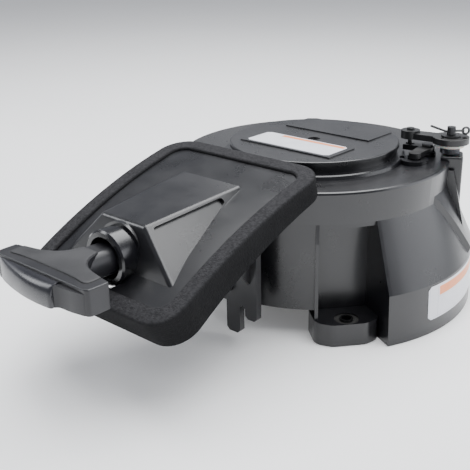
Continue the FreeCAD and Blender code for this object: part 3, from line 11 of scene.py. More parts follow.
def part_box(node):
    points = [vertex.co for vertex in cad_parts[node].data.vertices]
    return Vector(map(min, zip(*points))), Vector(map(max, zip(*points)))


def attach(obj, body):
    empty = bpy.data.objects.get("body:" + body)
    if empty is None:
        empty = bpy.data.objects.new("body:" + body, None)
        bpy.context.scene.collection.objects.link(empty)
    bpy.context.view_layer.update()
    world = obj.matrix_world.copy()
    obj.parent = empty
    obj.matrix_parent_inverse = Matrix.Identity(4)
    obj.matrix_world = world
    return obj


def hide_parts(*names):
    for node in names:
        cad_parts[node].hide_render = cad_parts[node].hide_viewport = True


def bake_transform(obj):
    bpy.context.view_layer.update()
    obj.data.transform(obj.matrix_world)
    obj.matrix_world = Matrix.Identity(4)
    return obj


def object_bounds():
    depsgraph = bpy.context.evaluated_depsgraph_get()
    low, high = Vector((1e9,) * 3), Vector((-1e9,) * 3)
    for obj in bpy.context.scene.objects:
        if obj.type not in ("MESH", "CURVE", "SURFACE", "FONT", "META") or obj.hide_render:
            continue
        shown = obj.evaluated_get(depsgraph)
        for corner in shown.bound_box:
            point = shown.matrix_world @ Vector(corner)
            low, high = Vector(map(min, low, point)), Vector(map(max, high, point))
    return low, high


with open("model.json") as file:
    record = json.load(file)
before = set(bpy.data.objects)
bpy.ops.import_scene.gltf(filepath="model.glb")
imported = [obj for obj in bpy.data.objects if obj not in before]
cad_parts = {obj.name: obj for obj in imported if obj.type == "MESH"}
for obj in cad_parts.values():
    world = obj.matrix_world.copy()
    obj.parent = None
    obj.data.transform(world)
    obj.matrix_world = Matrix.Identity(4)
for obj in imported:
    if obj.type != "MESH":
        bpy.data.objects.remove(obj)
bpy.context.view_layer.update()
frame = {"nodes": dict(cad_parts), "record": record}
CAD = frame["nodes"]
MM = 0.001

# Sizes shared with the part, in millimetres.
PULL_HEIGHT = 109.0
BEND_RADIUS = 523.0
FRONT_SLOPE = math.radians(32.5)
BEND_ARC = math.radians(22.6)
PANEL_REACH = 287.3
PANEL_FRONT_HEIGHT = 81.9
BEND_Y = BEND_RADIUS * math.sin(FRONT_SLOPE) - PANEL_REACH
BEND_Z = PANEL_FRONT_HEIGHT - BEND_RADIUS * math.cos(FRONT_SLOPE)
PANEL_LENGTH = BEND_RADIUS * BEND_ARC
PANEL_HALF_WIDTH = 87.0
PANEL_CORNER = 27.0
PANEL_INNER_CORNER = 13.2
FOAM_WIDTH = 15.5
FOAM_DEPTH = 17.5
FOAM_DEEPEST = 28.3
FOAM_TAPER = math.radians(3.0)
FOAM_SHOULDER = 2.2
FLANGE_RELIEF_RADIUS = 131.5
FLANGE_RELIEF_TOP = 136.6
SKIRT_RADIUS = 157.5
SKIRT_TOP_RADIUS = 155.5
SKIRT_HEIGHT = 47.0
LABEL_GAUGE = 0.25


# ---------------------------------------------------------------- materials

class Finish:
    """A material under construction: nodes are added by kind and joined as they are made."""

    def __init__(self, name, tree=None):
        self.material = None
        if tree is None:
            self.material = bpy.data.materials.new(name)
            self.material.use_nodes = True
            tree = self.material.node_tree
            tree.nodes.clear()
            out = tree.nodes.new("ShaderNodeOutputMaterial")
            self.surface = tree.nodes.new("ShaderNodeBsdfPrincipled")
            tree.links.new(self.surface.outputs[0], out.inputs[0])
        self.tree = tree

    def put(self, socket, value):
        if isinstance(value, bpy.types.NodeSocket):
            self.tree.links.new(value, socket)
        else:
            socket.default_value = value

    def add(self, kind, settings=None, **inputs):
        node = self.tree.nodes.new("ShaderNode" + kind)
        for key, value in (settings or {}).items():
            setattr(node, key, value)
        for key, value in inputs.items():
            index = int(key[1:]) if key[0] == "i" and key[1:].isdigit() else key.replace("_", " ")
            self.put(node.inputs[index], value)
        return node

    def math(self, operation, first, second=0.0, clamp=False):
        node = self.add("Math", {"operation": operation, "use_clamp": clamp}, i0=first, i1=second)
        return node.outputs[0]

    def mix(self, share, first, second):
        node = self.add("Mix", {"data_type": "RGBA"})
        self.put(node.inputs["Factor"], share)
        self.put(node.inputs[6], first)
        self.put(node.inputs[7], second)
        return node.outputs[2]

    def span(self, value, low, high, to_low, to_high):
        node = self.add("MapRange", {"clamp": True}, Value=value, From_Min=low, From_Max=high,
                        To_Min=to_low, To_Max=to_high)
        return node.outputs[0]

    def inside(self, value, low, high, soft=0.15):
        """1 where low < value < high, with a soft edge."""
        return self.math("MULTIPLY", self.span(value, low - soft, low + soft, 0.0, 1.0),
                         self.span(value, high - soft, high + soft, 1.0, 0.0))

    def coat(self, **inputs):
        for key, value in inputs.items():
            self.put(self.surface.inputs[key.replace("_", " ")], value)

    def relief(self, height, depth, strength=1.0):
        bump = self.add("Bump", Strength=strength, Distance=depth, Height=height)
        self.put(self.surface.inputs["Normal"], bump.outputs[0])


def rgb(red, green, blue):
    return (red, green, blue, 1.0)


def wear_group():
    """Fine grain, soft patches, hairline scratches and settled dust, all in object space."""
    group = bpy.data.node_groups.new("surface_wear", "ShaderNodeTree")
    for name in ("Grain Scale", "Patch Scale", "Scratch Scale"):
        group.interface.new_socket(name=name, in_out="INPUT", socket_type="NodeSocketFloat")
    for name in ("Grain", "Patches", "Scratches", "Dust"):
        group.interface.new_socket(name=name, in_out="OUTPUT", socket_type="NodeSocketFloat")
    make = Finish("", group)
    source = group.nodes.new("NodeGroupInput")
    sink = group.nodes.new("NodeGroupOutput")
    place = make.add("TexCoord").outputs["Object"]
    fine = make.add("TexNoise", Vector=place, Scale=source.outputs[0], Detail=3.0, Roughness=0.6)
    soft = make.add("TexNoise", Vector=place, Scale=source.outputs[1], Detail=5.0, Roughness=0.62)
    stretched = make.add("Mapping", Vector=place, Scale=(1.0, 0.03, 0.6), Rotation=(0.3, 0.2, 0.7))
    hair = make.add("TexNoise", Vector=stretched.outputs[0], Scale=source.outputs[2], Detail=2.0, Roughness=0.4)
    lines = make.span(hair.outputs[0], 0.70, 0.76, 0.0, 1.0)
    facing = make.add("NewGeometry")
    upward = make.add("SeparateXYZ", Vector=facing.outputs["Normal"]).outputs[2]
    dust = make.math("MULTIPLY", make.span(upward, 0.55, 1.0, 0.0, 1.0),
                     make.span(soft.outputs[0], 0.42, 0.66, 0.0, 1.0))
    for slot, value in enumerate((fine.outputs[0], make.span(soft.outputs[0], 0.32, 0.68, 0.0, 1.0), lines, dust)):
        group.links.new(value, sink.inputs[slot])
    return group


WEAR = wear_group()


def wear(finish, grain, patch, scratch=1100.0):
    node = finish.tree.nodes.new("ShaderNodeGroup")
    node.node_tree = WEAR
    for slot, value in enumerate((grain, patch, scratch)):
        node.inputs[slot].default_value = value
    return node.outputs


def moulded(name, dark, light, gloss, grain=2600.0, depth=0.00004, coat=0.0, dusting=0.06):
    """Moulded or cast plastic and rubber: a mottled colour, uneven gloss and a fine grain."""
    finish = Finish(name)
    parts = wear(finish, grain, 26.0)
    colour = finish.mix(parts["Patches"], rgb(*dark), rgb(*light))
    dusty = finish.mix(finish.math("MULTIPLY", parts["Dust"], dusting), colour, rgb(0.34, 0.33, 0.31))
    scuffed = finish.mix(finish.math("MULTIPLY", parts["Scratches"], 0.012), dusty, rgb(0.3, 0.3, 0.31))
    rough = finish.span(parts["Patches"], 0.0, 1.0, gloss - 0.05, gloss + 0.06)
    finish.coat(Base_Color=scuffed, Roughness=rough, Coat_Weight=coat, Coat_Roughness=0.22)
    finish.relief(parts["Grain"], depth)
    return finish.material


def metal(name, dark, light, gloss, brushing=900.0, depth=0.00003):
    """Plated or turned metal: brushed grain, tarnish patches and fine scratches."""
    finish = Finish(name)
    parts = wear(finish, brushing, 140.0, 1800.0)
    colour = finish.mix(parts["Patches"], rgb(*dark), rgb(*light))
    worn = finish.mix(finish.math("MULTIPLY", parts["Scratches"], 0.35), colour, rgb(0.86, 0.85, 0.83))
    rough = finish.span(parts["Patches"], 0.0, 1.0, gloss + 0.14, gloss)
    finish.coat(Base_Color=worn, Roughness=rough, Metallic=1.0)
    finish.relief(parts["Grain"], depth)
    return finish.material


def foam_finish():
    """Closed-cell foam: round cells, crumbs between them, painted shade in the cell pits, and the face painted paler
    than the sides as painted light.
    """
    finish = Finish("seal_foam_cells_painted_light")
    parts = wear(finish, 1500.0, 34.0)
    place = finish.add("TexCoord").outputs["Object"]
    cells = finish.add("TexVoronoi", Vector=place, Scale=620.0)
    clumps = finish.add("TexNoise", Vector=place, Scale=380.0, Detail=4.0, Roughness=0.7)
    pits = finish.span(cells.outputs[0], 0.0, 0.55, 0.0, 1.0)
    # Painted light: the skin attribute is 1 on the face and 0 on the sides, so the face is painted paler and the sides
    # darker, as if shaded.
    skin = finish.add("Attribute", {"attribute_name": "skin"}).outputs["Fac"]
    base = finish.mix(skin, rgb(0.0050, 0.0050, 0.0055), rgb(0.034, 0.0335, 0.036))
    mottled = finish.mix(finish.math("MULTIPLY", finish.span(clumps.outputs[0], 0.42, 0.62, 0.0, 1.0), 0.62), base,
                         rgb(0.008, 0.008, 0.009))
    # Painted shade: the colour darkens toward each cell's centre, where the bump makes a pit.
    pit_shade_painted = finish.mix(finish.math("MULTIPLY", finish.span(cells.outputs[0], 0.0, 0.2, 1.0, 0.0), 0.5),
                         mottled, rgb(0.004, 0.004, 0.0045))
    finish.coat(Base_Color=pit_shade_painted, Roughness=finish.span(parts["Patches"], 0.0, 1.0, 0.86, 0.97),
                Specular_IOR_Level=0.18)
    finish.relief(finish.math("ADD", pits, finish.math("MULTIPLY", clumps.outputs[0], 1.6)), 0.0004, 0.9)
    return finish.material


def rope_finish():
    """Braided polyester: crossing yarns along the rope's own length, with a coloured tracer."""
    finish = Finish("rope_braid_yarn")
    grid = finish.add("SeparateXYZ", Vector=finish.add("UVMap", {"uv_map": "UVMap"}).outputs[0])
    across, along = grid.outputs[0], grid.outputs[1]
    one_way = finish.math("SINE", finish.math("ADD", finish.math("MULTIPLY", across, 50.27),
                                              finish.math("MULTIPLY", along, 1400.0)))
    other = finish.math("SINE", finish.math("SUBTRACT", finish.math("MULTIPLY", across, 50.27),
                                            finish.math("MULTIPLY", along, 1400.0)))
    weave = finish.math("MAXIMUM", one_way, other)
    parts = wear(finish, 5200.0, 120.0)
    tracer = finish.span(one_way, 0.86, 0.95, 0.0, 0.75)
    base = finish.mix(parts["Patches"], rgb(0.50, 0.49, 0.46), rgb(0.66, 0.65, 0.62))
    shaded = finish.mix(finish.span(weave, 0.2, 0.7, 1.0, 0.0), base, rgb(0.16, 0.155, 0.15))
    finish.coat(Base_Color=finish.mix(tracer, shaded, rgb(0.03, 0.05, 0.16)), Roughness=0.82,
                Sheen_Weight=0.4, Sheen_Roughness=0.4)
    finish.relief(finish.math("ADD", weave, parts["Grain"]), 0.00012)
    return finish.material


def nylon_finish(name, dark, light, glow):
    """Natural nylon: waxy, with light carried under its surface."""
    finish = Finish(name)
    parts = wear(finish, 1700.0, 60.0)
    finish.coat(Base_Color=finish.mix(parts["Patches"], rgb(*dark), rgb(*light)),
                Roughness=finish.span(parts["Patches"], 0.0, 1.0, 0.36, 0.5),
                Subsurface_Weight=glow, Subsurface_Scale=0.002)
    finish.relief(parts["Grain"], 0.00003)
    return finish.material


def sticker_finish(name, width, height, bands, lines):
    """A printed label, laid out in millimetres on its own UV map.

    bands and lines are (left, right, bottom, top) areas, in orange and in thin grey."""
    finish = Finish(name)
    grid = finish.add("SeparateXYZ", Vector=finish.add("UVMap", {"uv_map": "UVMap"}).outputs[0])
    across = finish.math("MULTIPLY", grid.outputs[0], width)
    up = finish.math("MULTIPLY", grid.outputs[1], height)
    parts = wear(finish, 3000.0, 45.0)
    colour = finish.mix(parts["Patches"], rgb(0.70, 0.71, 0.76), rgb(0.78, 0.79, 0.84))

    def area(left, right, bottom, top, soft):
        return finish.math("MULTIPLY", finish.inside(across, left, right, soft), finish.inside(up, bottom, top, soft))
    for spot in bands:
        fade = finish.math("MULTIPLY", area(*spot, 0.25), finish.span(parts["Patches"], 0.0, 1.0, 0.88, 1.0))
        colour = finish.mix(fade, colour, rgb(0.93, 0.25, 0.045))
    for spot in lines:
        colour = finish.mix(finish.math("MULTIPLY", area(*spot, 0.08), 0.55), colour, rgb(0.10, 0.11, 0.20))
    soiled = finish.mix(finish.math("MULTIPLY", parts["Scratches"], 0.12), colour, rgb(0.32, 0.32, 0.34))
    finish.coat(Base_Color=soiled, Roughness=finish.span(parts["Patches"], 0.0, 1.0, 0.30, 0.42), Coat_Weight=0.25,
                Coat_Roughness=0.15)
    finish.relief(parts["Grain"], 0.00001)
    return finish.material


FINISHES = {
    "moulded_black": moulded("moulded_black_shell", (0.0036, 0.0036, 0.0046), (0.0072, 0.0072, 0.0090), 0.30,
                             coat=0.35, dusting=0.012),
    "ring_black": moulded("ring_black_gloss", (0.003, 0.003, 0.004), (0.006, 0.006, 0.008), 0.2, 1800.0, 0.00002,
                          0.3, 0.01),
    "lever_black": moulded("lever_black_coating", (0.003, 0.003, 0.0036), (0.009, 0.009, 0.010), 0.42, 1500.0,
                           0.00006, 0.2, 0.1),
    "grommet_rubber": moulded("grommet_rubber_matt", (0.006, 0.006, 0.006), (0.015, 0.015, 0.014), 0.6, 1200.0,
                              0.00007),
    "grip_grey": moulded("grip_grey_shell", (0.008, 0.008, 0.010), (0.013, 0.013, 0.016), 0.40, 2400.0,
                         0.00006, 0.1, 0.02),
    "grip_soft": moulded("grip_soft_pad", (0.014, 0.014, 0.0155), (0.024, 0.024, 0.027), 0.62, 1700.0, 0.00016,
                         0.0, 0.03),
    "badge_grey": moulded("badge_grey_face", (0.013, 0.013, 0.017), (0.019, 0.019, 0.025), 0.30, 2400.0, 0.00002,
                          0.25, 0.01),
    "zinc_steel": metal("zinc_plating", (0.05, 0.05, 0.053), (0.12, 0.12, 0.12), 0.28),
    "turned_steel": metal("turned_bar", (0.42, 0.42, 0.42), (0.58, 0.58, 0.58), 0.2, 1600.0),
    "spring_steel": metal("blued_strip", (0.06, 0.063, 0.072), (0.14, 0.14, 0.15), 0.30),
    "bush_bronze": metal("sintered_bronze", (0.30, 0.17, 0.07), (0.48, 0.30, 0.13), 0.42, 3200.0, 0.00008),
    "seal_foam": foam_finish(),
    "rope_braid": rope_finish(),
    "bush_nylon": nylon_finish("bush_nylon_wax", (0.035, 0.034, 0.032), (0.055, 0.053, 0.05), 0.05),
    "drum_nylon": nylon_finish("drum_nylon_natural", (0.045, 0.044, 0.042), (0.075, 0.073, 0.07), 0.08),
    "washer_nylon": nylon_finish("washer_nylon_clear", (0.52, 0.51, 0.46), (0.68, 0.67, 0.62), 0.35),
}
for part in frame["record"]["subparts"]:
    node = CAD[part["node"]]
    node.data.materials.clear()
    node.data.materials.append(FINISHES.get(part["material_slot"], FINISHES["moulded_black"]))


# ---------------------------------------------------------------- building pieces

def as_object(name, shape, finish, smooth=35.0):
    """A finished mesh piece at the origin, from a bmesh in millimetres."""
    bmesh.ops.recalc_face_normals(shape, faces=shape.faces)
    mesh = bpy.data.meshes.new(name)
    shape.to_mesh(mesh)
    shape.free()
    mesh.transform(Matrix.Scale(MM, 4))
    item = bpy.data.objects.new(name, mesh)
    bpy.context.scene.collection.objects.link(item)
    mesh.materials.append(finish)
    mesh.shade_smooth()
    mesh.set_sharp_from_angle(angle=math.radians(smooth))
    return item


def soften(item, width, segments=3, angle=30.0):
    """Rounds a piece's edges for good, and keeps its flat faces flat."""
    bevel = item.modifiers.new("rounding", "BEVEL")
    bevel.width = width * MM
    bevel.segments = segments
    bevel.limit_method = "ANGLE"
    bevel.angle_limit = math.radians(angle)
    bevel.harden_normals = True


def sections(shape, rows):
    """Joins rows of points, each a closed ring, into a skin with capped ends."""
    made = [[shape.verts.new(point) for point in row] for row in rows]
    for near, far in zip(made, made[1:]):
        for index in range(len(near)):
            after = (index + 1) % len(near)
            shape.faces.new((near[index], near[after], far[after], far[index]))
    shape.faces.new(made[0])
    shape.faces.new(reversed(made[-1]))


def slab(shape, outline, foot, top):
    """An upright prism over a plan outline."""
    sections(shape, [[(x, y, foot) for x, y in outline], [(x, y, top) for x, y in outline]])


def rounded_loop(half_width, half_length, radius, steps=9):
    """Points anticlockwise round a rounded rectangle, each with its outward direction."""
    loop = []
    for quarter, (side, end) in enumerate(((1, 1), (-1, 1), (-1, -1), (1, -1))):
        for step in range(steps + 1):
            turn = math.radians(90.0 * (quarter + step / steps))
            out = (math.cos(turn), math.sin(turn))
            loop.append(((side * (half_width - radius) + radius * out[0],
                          end * (half_length - radius) + radius * out[1]), out))
    return loop


def on_panel(across, along, depth):
    """A point of the bent panel: along runs from -half at the front to +half at the rear."""
    angle = FRONT_SLOPE - (along + PANEL_LENGTH / 2.0) / BEND_RADIUS
    reach = BEND_RADIUS - depth
    return Vector((across, BEND_Y - reach * math.sin(angle), BEND_Z + reach * math.cos(angle)))


# ---------------------------------------------------------------- foam seal

def build_foam_seal():
    """The bent foam frame: rounded shoulders, a face marked for painted light, sides that deepen to the front."""
    shape = bmesh.new()
    skin = shape.verts.layers.float.new("skin")
    outer = rounded_loop(PANEL_HALF_WIDTH, PANEL_LENGTH / 2.0, PANEL_CORNER, 12)
    inner = rounded_loop(PANEL_HALF_WIDTH - FOAM_WIDTH, PANEL_LENGTH / 2.0 - FOAM_WIDTH, PANEL_INNER_CORNER, 12)
    half = PANEL_LENGTH / 2.0
    straight = []
    for index in range(len(outer)):
        straight.append((outer[index], inner[index]))
        follow = (index + 1) % len(outer)
        gap = math.dist(outer[index][0], outer[follow][0])
        for extra in range(1, int(gap // 12.0) + 1):
            share = extra / (int(gap // 12.0) + 1)
            pair = []
            for loop in (outer, inner):
                (ax, ay), out = loop[index]
                (bx, by), _ = loop[follow]
                pair.append(((ax + (bx - ax) * share, ay + (by - ay) * share), out))
            straight.append(tuple(pair))
    shoulder = FOAM_SHOULDER
    rings = []
    for (out_spot, _), (in_spot, _) in straight:
        deepest = FOAM_DEPTH + max(0.0, (half - out_spot[1])) * math.tan(FOAM_TAPER)
        deepest = min(deepest, FOAM_DEEPEST)
        # The third value of each edge point is the painted-light share: 1 on the face, 0 on the shaded sides, graded
        # round the shoulders.
        edge = [(0.0, 1.0, 0.0), (0.0, 0.55, 0.0), (0.0, shoulder / deepest, 0.1)]
        for turn in (22.5, 45.0, 67.5):
            bend = math.radians(turn)
            edge.append(((1.0 - math.cos(bend)) * shoulder / FOAM_WIDTH, (1.0 - math.sin(bend)) * shoulder / deepest,
                         turn / 90.0))
        edge += [(shoulder / FOAM_WIDTH, 0.0, 1.0), (0.35, 0.0, 1.0), (0.65, 0.0, 1.0),
                 (1.0 - shoulder / FOAM_WIDTH, 0.0, 1.0)]
        for turn in (67.5, 45.0, 22.5):
            bend = math.radians(turn)
            edge.append((1.0 - (1.0 - math.cos(bend)) * shoulder / FOAM_WIDTH,
                         (1.0 - math.sin(bend)) * shoulder / deepest, turn / 90.0))
        edge += [(1.0, shoulder / deepest, 0.1), (1.0, 0.55, 0.0), (1.0, 1.0, 0.0), (0.5, 1.0, 0.0)]
        ring = []
        for share, depth, lit_face_share in edge:
            x = out_spot[0] + (in_spot[0] - out_spot[0]) * share
            v = out_spot[1] + (in_spot[1] - out_spot[1]) * share
            point = on_panel(x, v, depth * deepest)
            if math.hypot(point.x, point.y) < FLANGE_RELIEF_RADIUS and point.z < FLANGE_RELIEF_TOP:
                point.z = FLANGE_RELIEF_TOP
            ring.append((point, lit_face_share))
        rings.append(ring)
    made = []
    for ring in rings:
        row = []
        for point, lit_face_share in ring:
            vert = shape.verts.new(point)
            vert[skin] = lit_face_share
            row.append(vert)
        made.append(row)
    for index, near in enumerate(made):
        far = made[(index + 1) % len(made)]
        for spot in range(len(near)):
            after = (spot + 1) % len(near)
            shape.faces.new((near[spot], near[after], far[after], far[spot]))
    foam = as_object("foam_seal", shape, FINISHES["seal_foam"], 50.0)
    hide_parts("foam_gasket")
    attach(foam, "case")


# ---------------------------------------------------------------- grip

def curve_through(points, per_span=6):
    """A smooth line through plan points (Catmull-Rom)."""
    line = []
    ends = [points[0]] + points + [points[-1]]
    for a, b, c, d in zip(ends, ends[1:], ends[2:], ends[3:]):
        for step in range(per_span):
            t = step / per_span
            line.append(tuple(
                0.5 * (2.0 * q + (r - p) * t + (2 * p - 5 * q + 4 * r - w) * t * t + (3 * q - p - 3 * r + w) * t ** 3)
                for p, q, r, w in zip(a, b, c, d)))
    return line + [points[-1]]


def hip_line(trim):
    """The grip's back edge from its right end to the stem."""
    return curve_through([(55.5 - trim, -307.3 - trim), (46.0, -306.2 - trim), (33.0, -303.4 - trim),
                          (22.0, -299.0 - trim), (13.5, -291.0 - trim * 0.5), (8.4 - trim * 0.3, -279.0)], 5)


def build_grip():
    front = [(-55.5, -320.0), (-55.0, -325.2), (-52.0, -327.0), (52.0, -327.0), (55.0, -325.2), (55.5, -320.0)]
    bar = bmesh.new()
    slab(bar, front + [(55.5, -307.3), (-55.5, -307.3)], 99.3, 120.2)
    shell = as_object("grip_shell", bar, FINISHES["grip_grey"])
    soften(shell, 1.3)
    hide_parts("grip_body")
    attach(shell, "grip")

    hips = bmesh.new()
    back = hip_line(0.0)[1:]
    slab(hips, [(-50.0, -309.0), (50.0, -309.0)] + back + [(-x, y) for x, y in reversed(back)], 112.6, 120.1)
    top = as_object("grip_hips", hips, FINISHES["grip_grey"])
    soften(top, 0.9)
    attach(top, "grip")

    stem = bmesh.new()
    rows = []
    for y, swell in ((-303.5, 1.00), (-300.0, 0.99), (-292.0, 0.93), (-284.0, 0.93), (-276.0, 0.98), (-270.0, 1.0),
                     (-259.5, 1.0), (-258.0, 0.93)):
        row = []
        for step in range(40):
            turn = math.radians(9.0 * step)
            x, z = 14.0 * swell * math.sin(turn), 14.0 * swell * math.cos(turn)
            row.append((x, y, PULL_HEIGHT + max(-9.6, min(z, 10.9))))
        rows.append(row)
    sections(stem, rows)
    neck = as_object("grip_stem", stem, FINISHES["grip_grey"], 40.0)
    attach(neck, "grip")

    pad = bmesh.new()
    seam = curve_through([(-46.2, -307.0), (-46.4, -316.0), (-43.5, -320.6), (-32.0, -319.4), (-14.0, -318.6),
                          (14.0, -318.6), (32.0, -319.4), (43.5, -320.6), (46.4, -316.0), (46.2, -307.0)], 5)
    rim = [(x * 0.992, y) for x, y in curve_through([(46.2, -306.9), (33.0, -304.2), (22.0, -299.9),
                                                      (13.0, -291.6), (8.1, -278.6)], 5)][1:]
    outline = seam + rim + [(-x, y) for x, y in reversed(rim)]
    centre = Vector((0.0, -307.0))
    rows = []
    for inset, height in ((0.0, 119.7), (0.0, 120.55), (0.55, 120.95), (2.2, 121.15), (6.0, 121.2)):
        row = []
        for x, y in outline:
            away = Vector((x, y)) - centre
            spot = centre + away * max(0.0, 1.0 - inset / max(away.length, 8.0))
            row.append((spot.x, spot.y, height))
        rows.append(row)
    sections(pad, rows)
    insert = as_object("grip_pad", pad, FINISHES["grip_soft"], 50.0)
    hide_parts("grip_insert")
    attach(insert, "grip")

    # Painted shade: a thin dark ring laid in the gap round the soft pad stands in for the shade in that gap.
    seam_shade_ring = bmesh.new()
    groove = [(x + math.copysign(0.55, x), y - 0.55) if y < -307.5 else (x + math.copysign(0.5, x), y)
              for x, y in seam]
    slab(seam_shade_ring, groove + [(46.0, -306.6), (-46.0, -306.6)], 119.9, 120.24)
    shadow = as_object("grip_pad_seam_painted_shade", seam_shade_ring, FINISHES["grommet_rubber"])
    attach(shadow, "grip")

    face = bmesh.new()
    bulge = curve_through([(-50.0, 0.0), (-40.0, 0.34), (-25.0, 0.68), (-8.5, 0.93), (8.0, 1.0), (20.0, 0.94),
                           (23.4, 0.86), (24.0, 0.74)], 5)
    rows = []
    for height, share in ((99.9, 0.97), (100.6, 1.0), (108.0, 1.0), (112.5, 0.93), (115.5, 0.74), (117.2, 0.48),
                          (117.8, 0.28)):
        rows.append([(x, -326.9 - 10.0 * part * share, height) for x, part in bulge] +
                    [(24.0, -326.8, height), (-50.0, -326.8, height)])
    sections(face, rows)
    badge = as_object("grip_badge_face", face, FINISHES["badge_grey"], 38.0)
    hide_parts("grip_badge")
    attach(badge, "grip")

    step = bmesh.new()
    slab(step, [(24.2, -326.8), (24.2, -333.0), (25.6, -331.6), (27.5, -330.4), (40.0, -329.6), (50.5, -327.6),
                (52.0, -326.8)], 99.8, 116.8)
    cheek = as_object("grip_cheek", step, FINISHES["grip_grey"], 38.0)
    soften(cheek, 0.5, 2)
    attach(cheek, "grip")


# ---------------------------------------------------------------- labels

def build_label(name, node, finish, width, height, corner, place):
    """A thin sheet with rounded corners, wrapped by place(across, up, lift)."""
    shape = bmesh.new()
    layer = shape.loops.layers.uv.new("UVMap")
    columns = 28
    grid = []
    for column in range(columns + 1):
        x = -width / 2.0 + width * column / columns
        edge = max(0.0, abs(x) - (width / 2.0 - corner))
        reach = height / 2.0 - corner + math.sqrt(max(0.0, corner * corner - edge * edge))
        grid.append([(x, reach * (row / 4.0 - 1.0)) for row in range(9)])
    flat = {}
    for lift in (0.0, LABEL_GAUGE):
        for column, line in enumerate(grid):
            for row, (x, y) in enumerate(line):
                flat[column, row, lift] = (shape.verts.new(place(x, y, lift)), (x / width + 0.5, y / height + 0.5))

    def face(keys):
        try:
            made = shape.faces.new([flat[key][0] for key in keys])
        except ValueError:
            return
        for corner_loop, key in zip(made.loops, keys):
            corner_loop[layer].uv = flat[key][1]
    for column in range(columns):
        for row in range(8):
            for lift in (0.0, LABEL_GAUGE):
                face([(column, row, lift), (column + 1, row, lift), (column + 1, row + 1, lift),
                      (column, row + 1, lift)])
        for row in (0, 8):
            face([(column, row, 0.0), (column + 1, row, 0.0), (column + 1, row, LABEL_GAUGE),
                  (column, row, LABEL_GAUGE)])
    for column in (0, columns):
        for row in range(8):
            face([(column, row, 0.0), (column, row + 1, 0.0), (column, row + 1, LABEL_GAUGE),
                  (column, row, LABEL_GAUGE)])
    sheet = as_object(name, shape, finish, 50.0)
    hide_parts(node)
    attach(sheet, "case")


def build_labels():
    low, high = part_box("lid_label")
    low, high = low / MM, high / MM
    middle, width, height = (low + high) / 2.0, high.x - low.x, high.y - low.y
    print_lid = sticker_finish("lid_label_print", width, height,
                               [(width * 0.22, width - 1.6, height - 6.6, height - 1.8)],
                               [(2.2, width - 2.2, 1.9, 2.15), (width * 0.22, width - 2.0, height - 7.6, height - 7.3)])
    build_label("lid_label_sheet", "lid_label", print_lid, width, height, 3.0,
                lambda x, y, lift: (middle.x + x, middle.y + y, low.z + 0.02 + lift))

    foot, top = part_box("skirt_label")[0].z / MM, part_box("skirt_label")[1].z / MM
    start, sweep = math.radians(78.0), math.radians(40.0)
    slope = (SKIRT_RADIUS - SKIRT_TOP_RADIUS) / SKIRT_HEIGHT
    length = 157.0 * sweep

    def on_skirt(x, y, lift):
        z = (foot + top) / 2.0 + y
        radius = SKIRT_RADIUS - slope * z + 0.06 + lift
        turn = start + sweep * (x / length + 0.5)
        return (radius * math.sin(turn), -radius * math.cos(turn), z)
    print_skirt = sticker_finish("skirt_label_print", length, top - foot,
                                 [(15.4, length - 3.0, top - foot - 11.0, top - foot - 2.4)],
                                 [(1.6, 1.9, 1.6, top - foot - 1.6), (13.2, 13.5, 1.6, top - foot - 1.6),
                                  (1.6, length - 1.6, 1.6, 1.85), (14.0, length - 3.0, top - foot - 12.2,
                                                                 top - foot - 11.95)])
    build_label("skirt_label_sheet", "skirt_label", print_skirt, length, top - foot, 3.0, on_skirt)


# ---------------------------------------------------------------- rope and lever spring

def node_tree(name, inputs):
    """A Geometry Nodes tree with named inputs, and small helpers to fill it."""
    tree = bpy.data.node_groups.new(name, "GeometryNodeTree")
    tree.interface.new_socket(name="Geometry", in_out="INPUT", socket_type="NodeSocketGeometry")
    for label, value in inputs.items():
        kind = "NodeSocketInt" if isinstance(value, int) else "NodeSocketFloat"
        tree.interface.new_socket(name=label, in_out="INPUT", socket_type=kind)
    tree.interface.new_socket(name="Geometry", in_out="OUTPUT", socket_type="NodeSocketGeometry")
    return tree, tree.nodes.new("NodeGroupInput"), tree.nodes.new("NodeGroupOutput")


def baked(name, carrier, tree, inputs, finish):
    """Runs a tree on a carrier object and keeps the result as a plain mesh."""
    modifier = carrier.modifiers.new("make", "NODES")
    modifier.node_group = tree
    sockets = {item.name: item.identifier for item in tree.interface.items_tree if item.in_out == "INPUT"}
    for label, value in inputs.items():
        modifier[sockets[label]] = value
    bpy.context.view_layer.update()
    evaluated = carrier.evaluated_get(bpy.context.evaluated_depsgraph_get())
    mesh = bpy.data.meshes.new_from_object(evaluated)
    mesh.name = name
    item = bpy.data.objects.new(name, mesh)
    bpy.context.scene.collection.objects.link(item)
    bpy.data.objects.remove(carrier)
    if not mesh.materials:
        mesh.materials.append(finish)
    return item


def finish_tree(tree, links, last, finish, sink):
    realize = tree.nodes.new("GeometryNodeRealizeInstances")
    paint = tree.nodes.new("GeometryNodeSetMaterial")
    paint.inputs["Material"].default_value = finish
    smooth = tree.nodes.new("GeometryNodeSetShadeSmooth")
    links.new(last, realize.inputs[0])
    links.new(realize.outputs[0], smooth.inputs[0])
    links.new(smooth.outputs[0], paint.inputs[0])
    links.new(paint.outputs[0], sink.inputs[0])


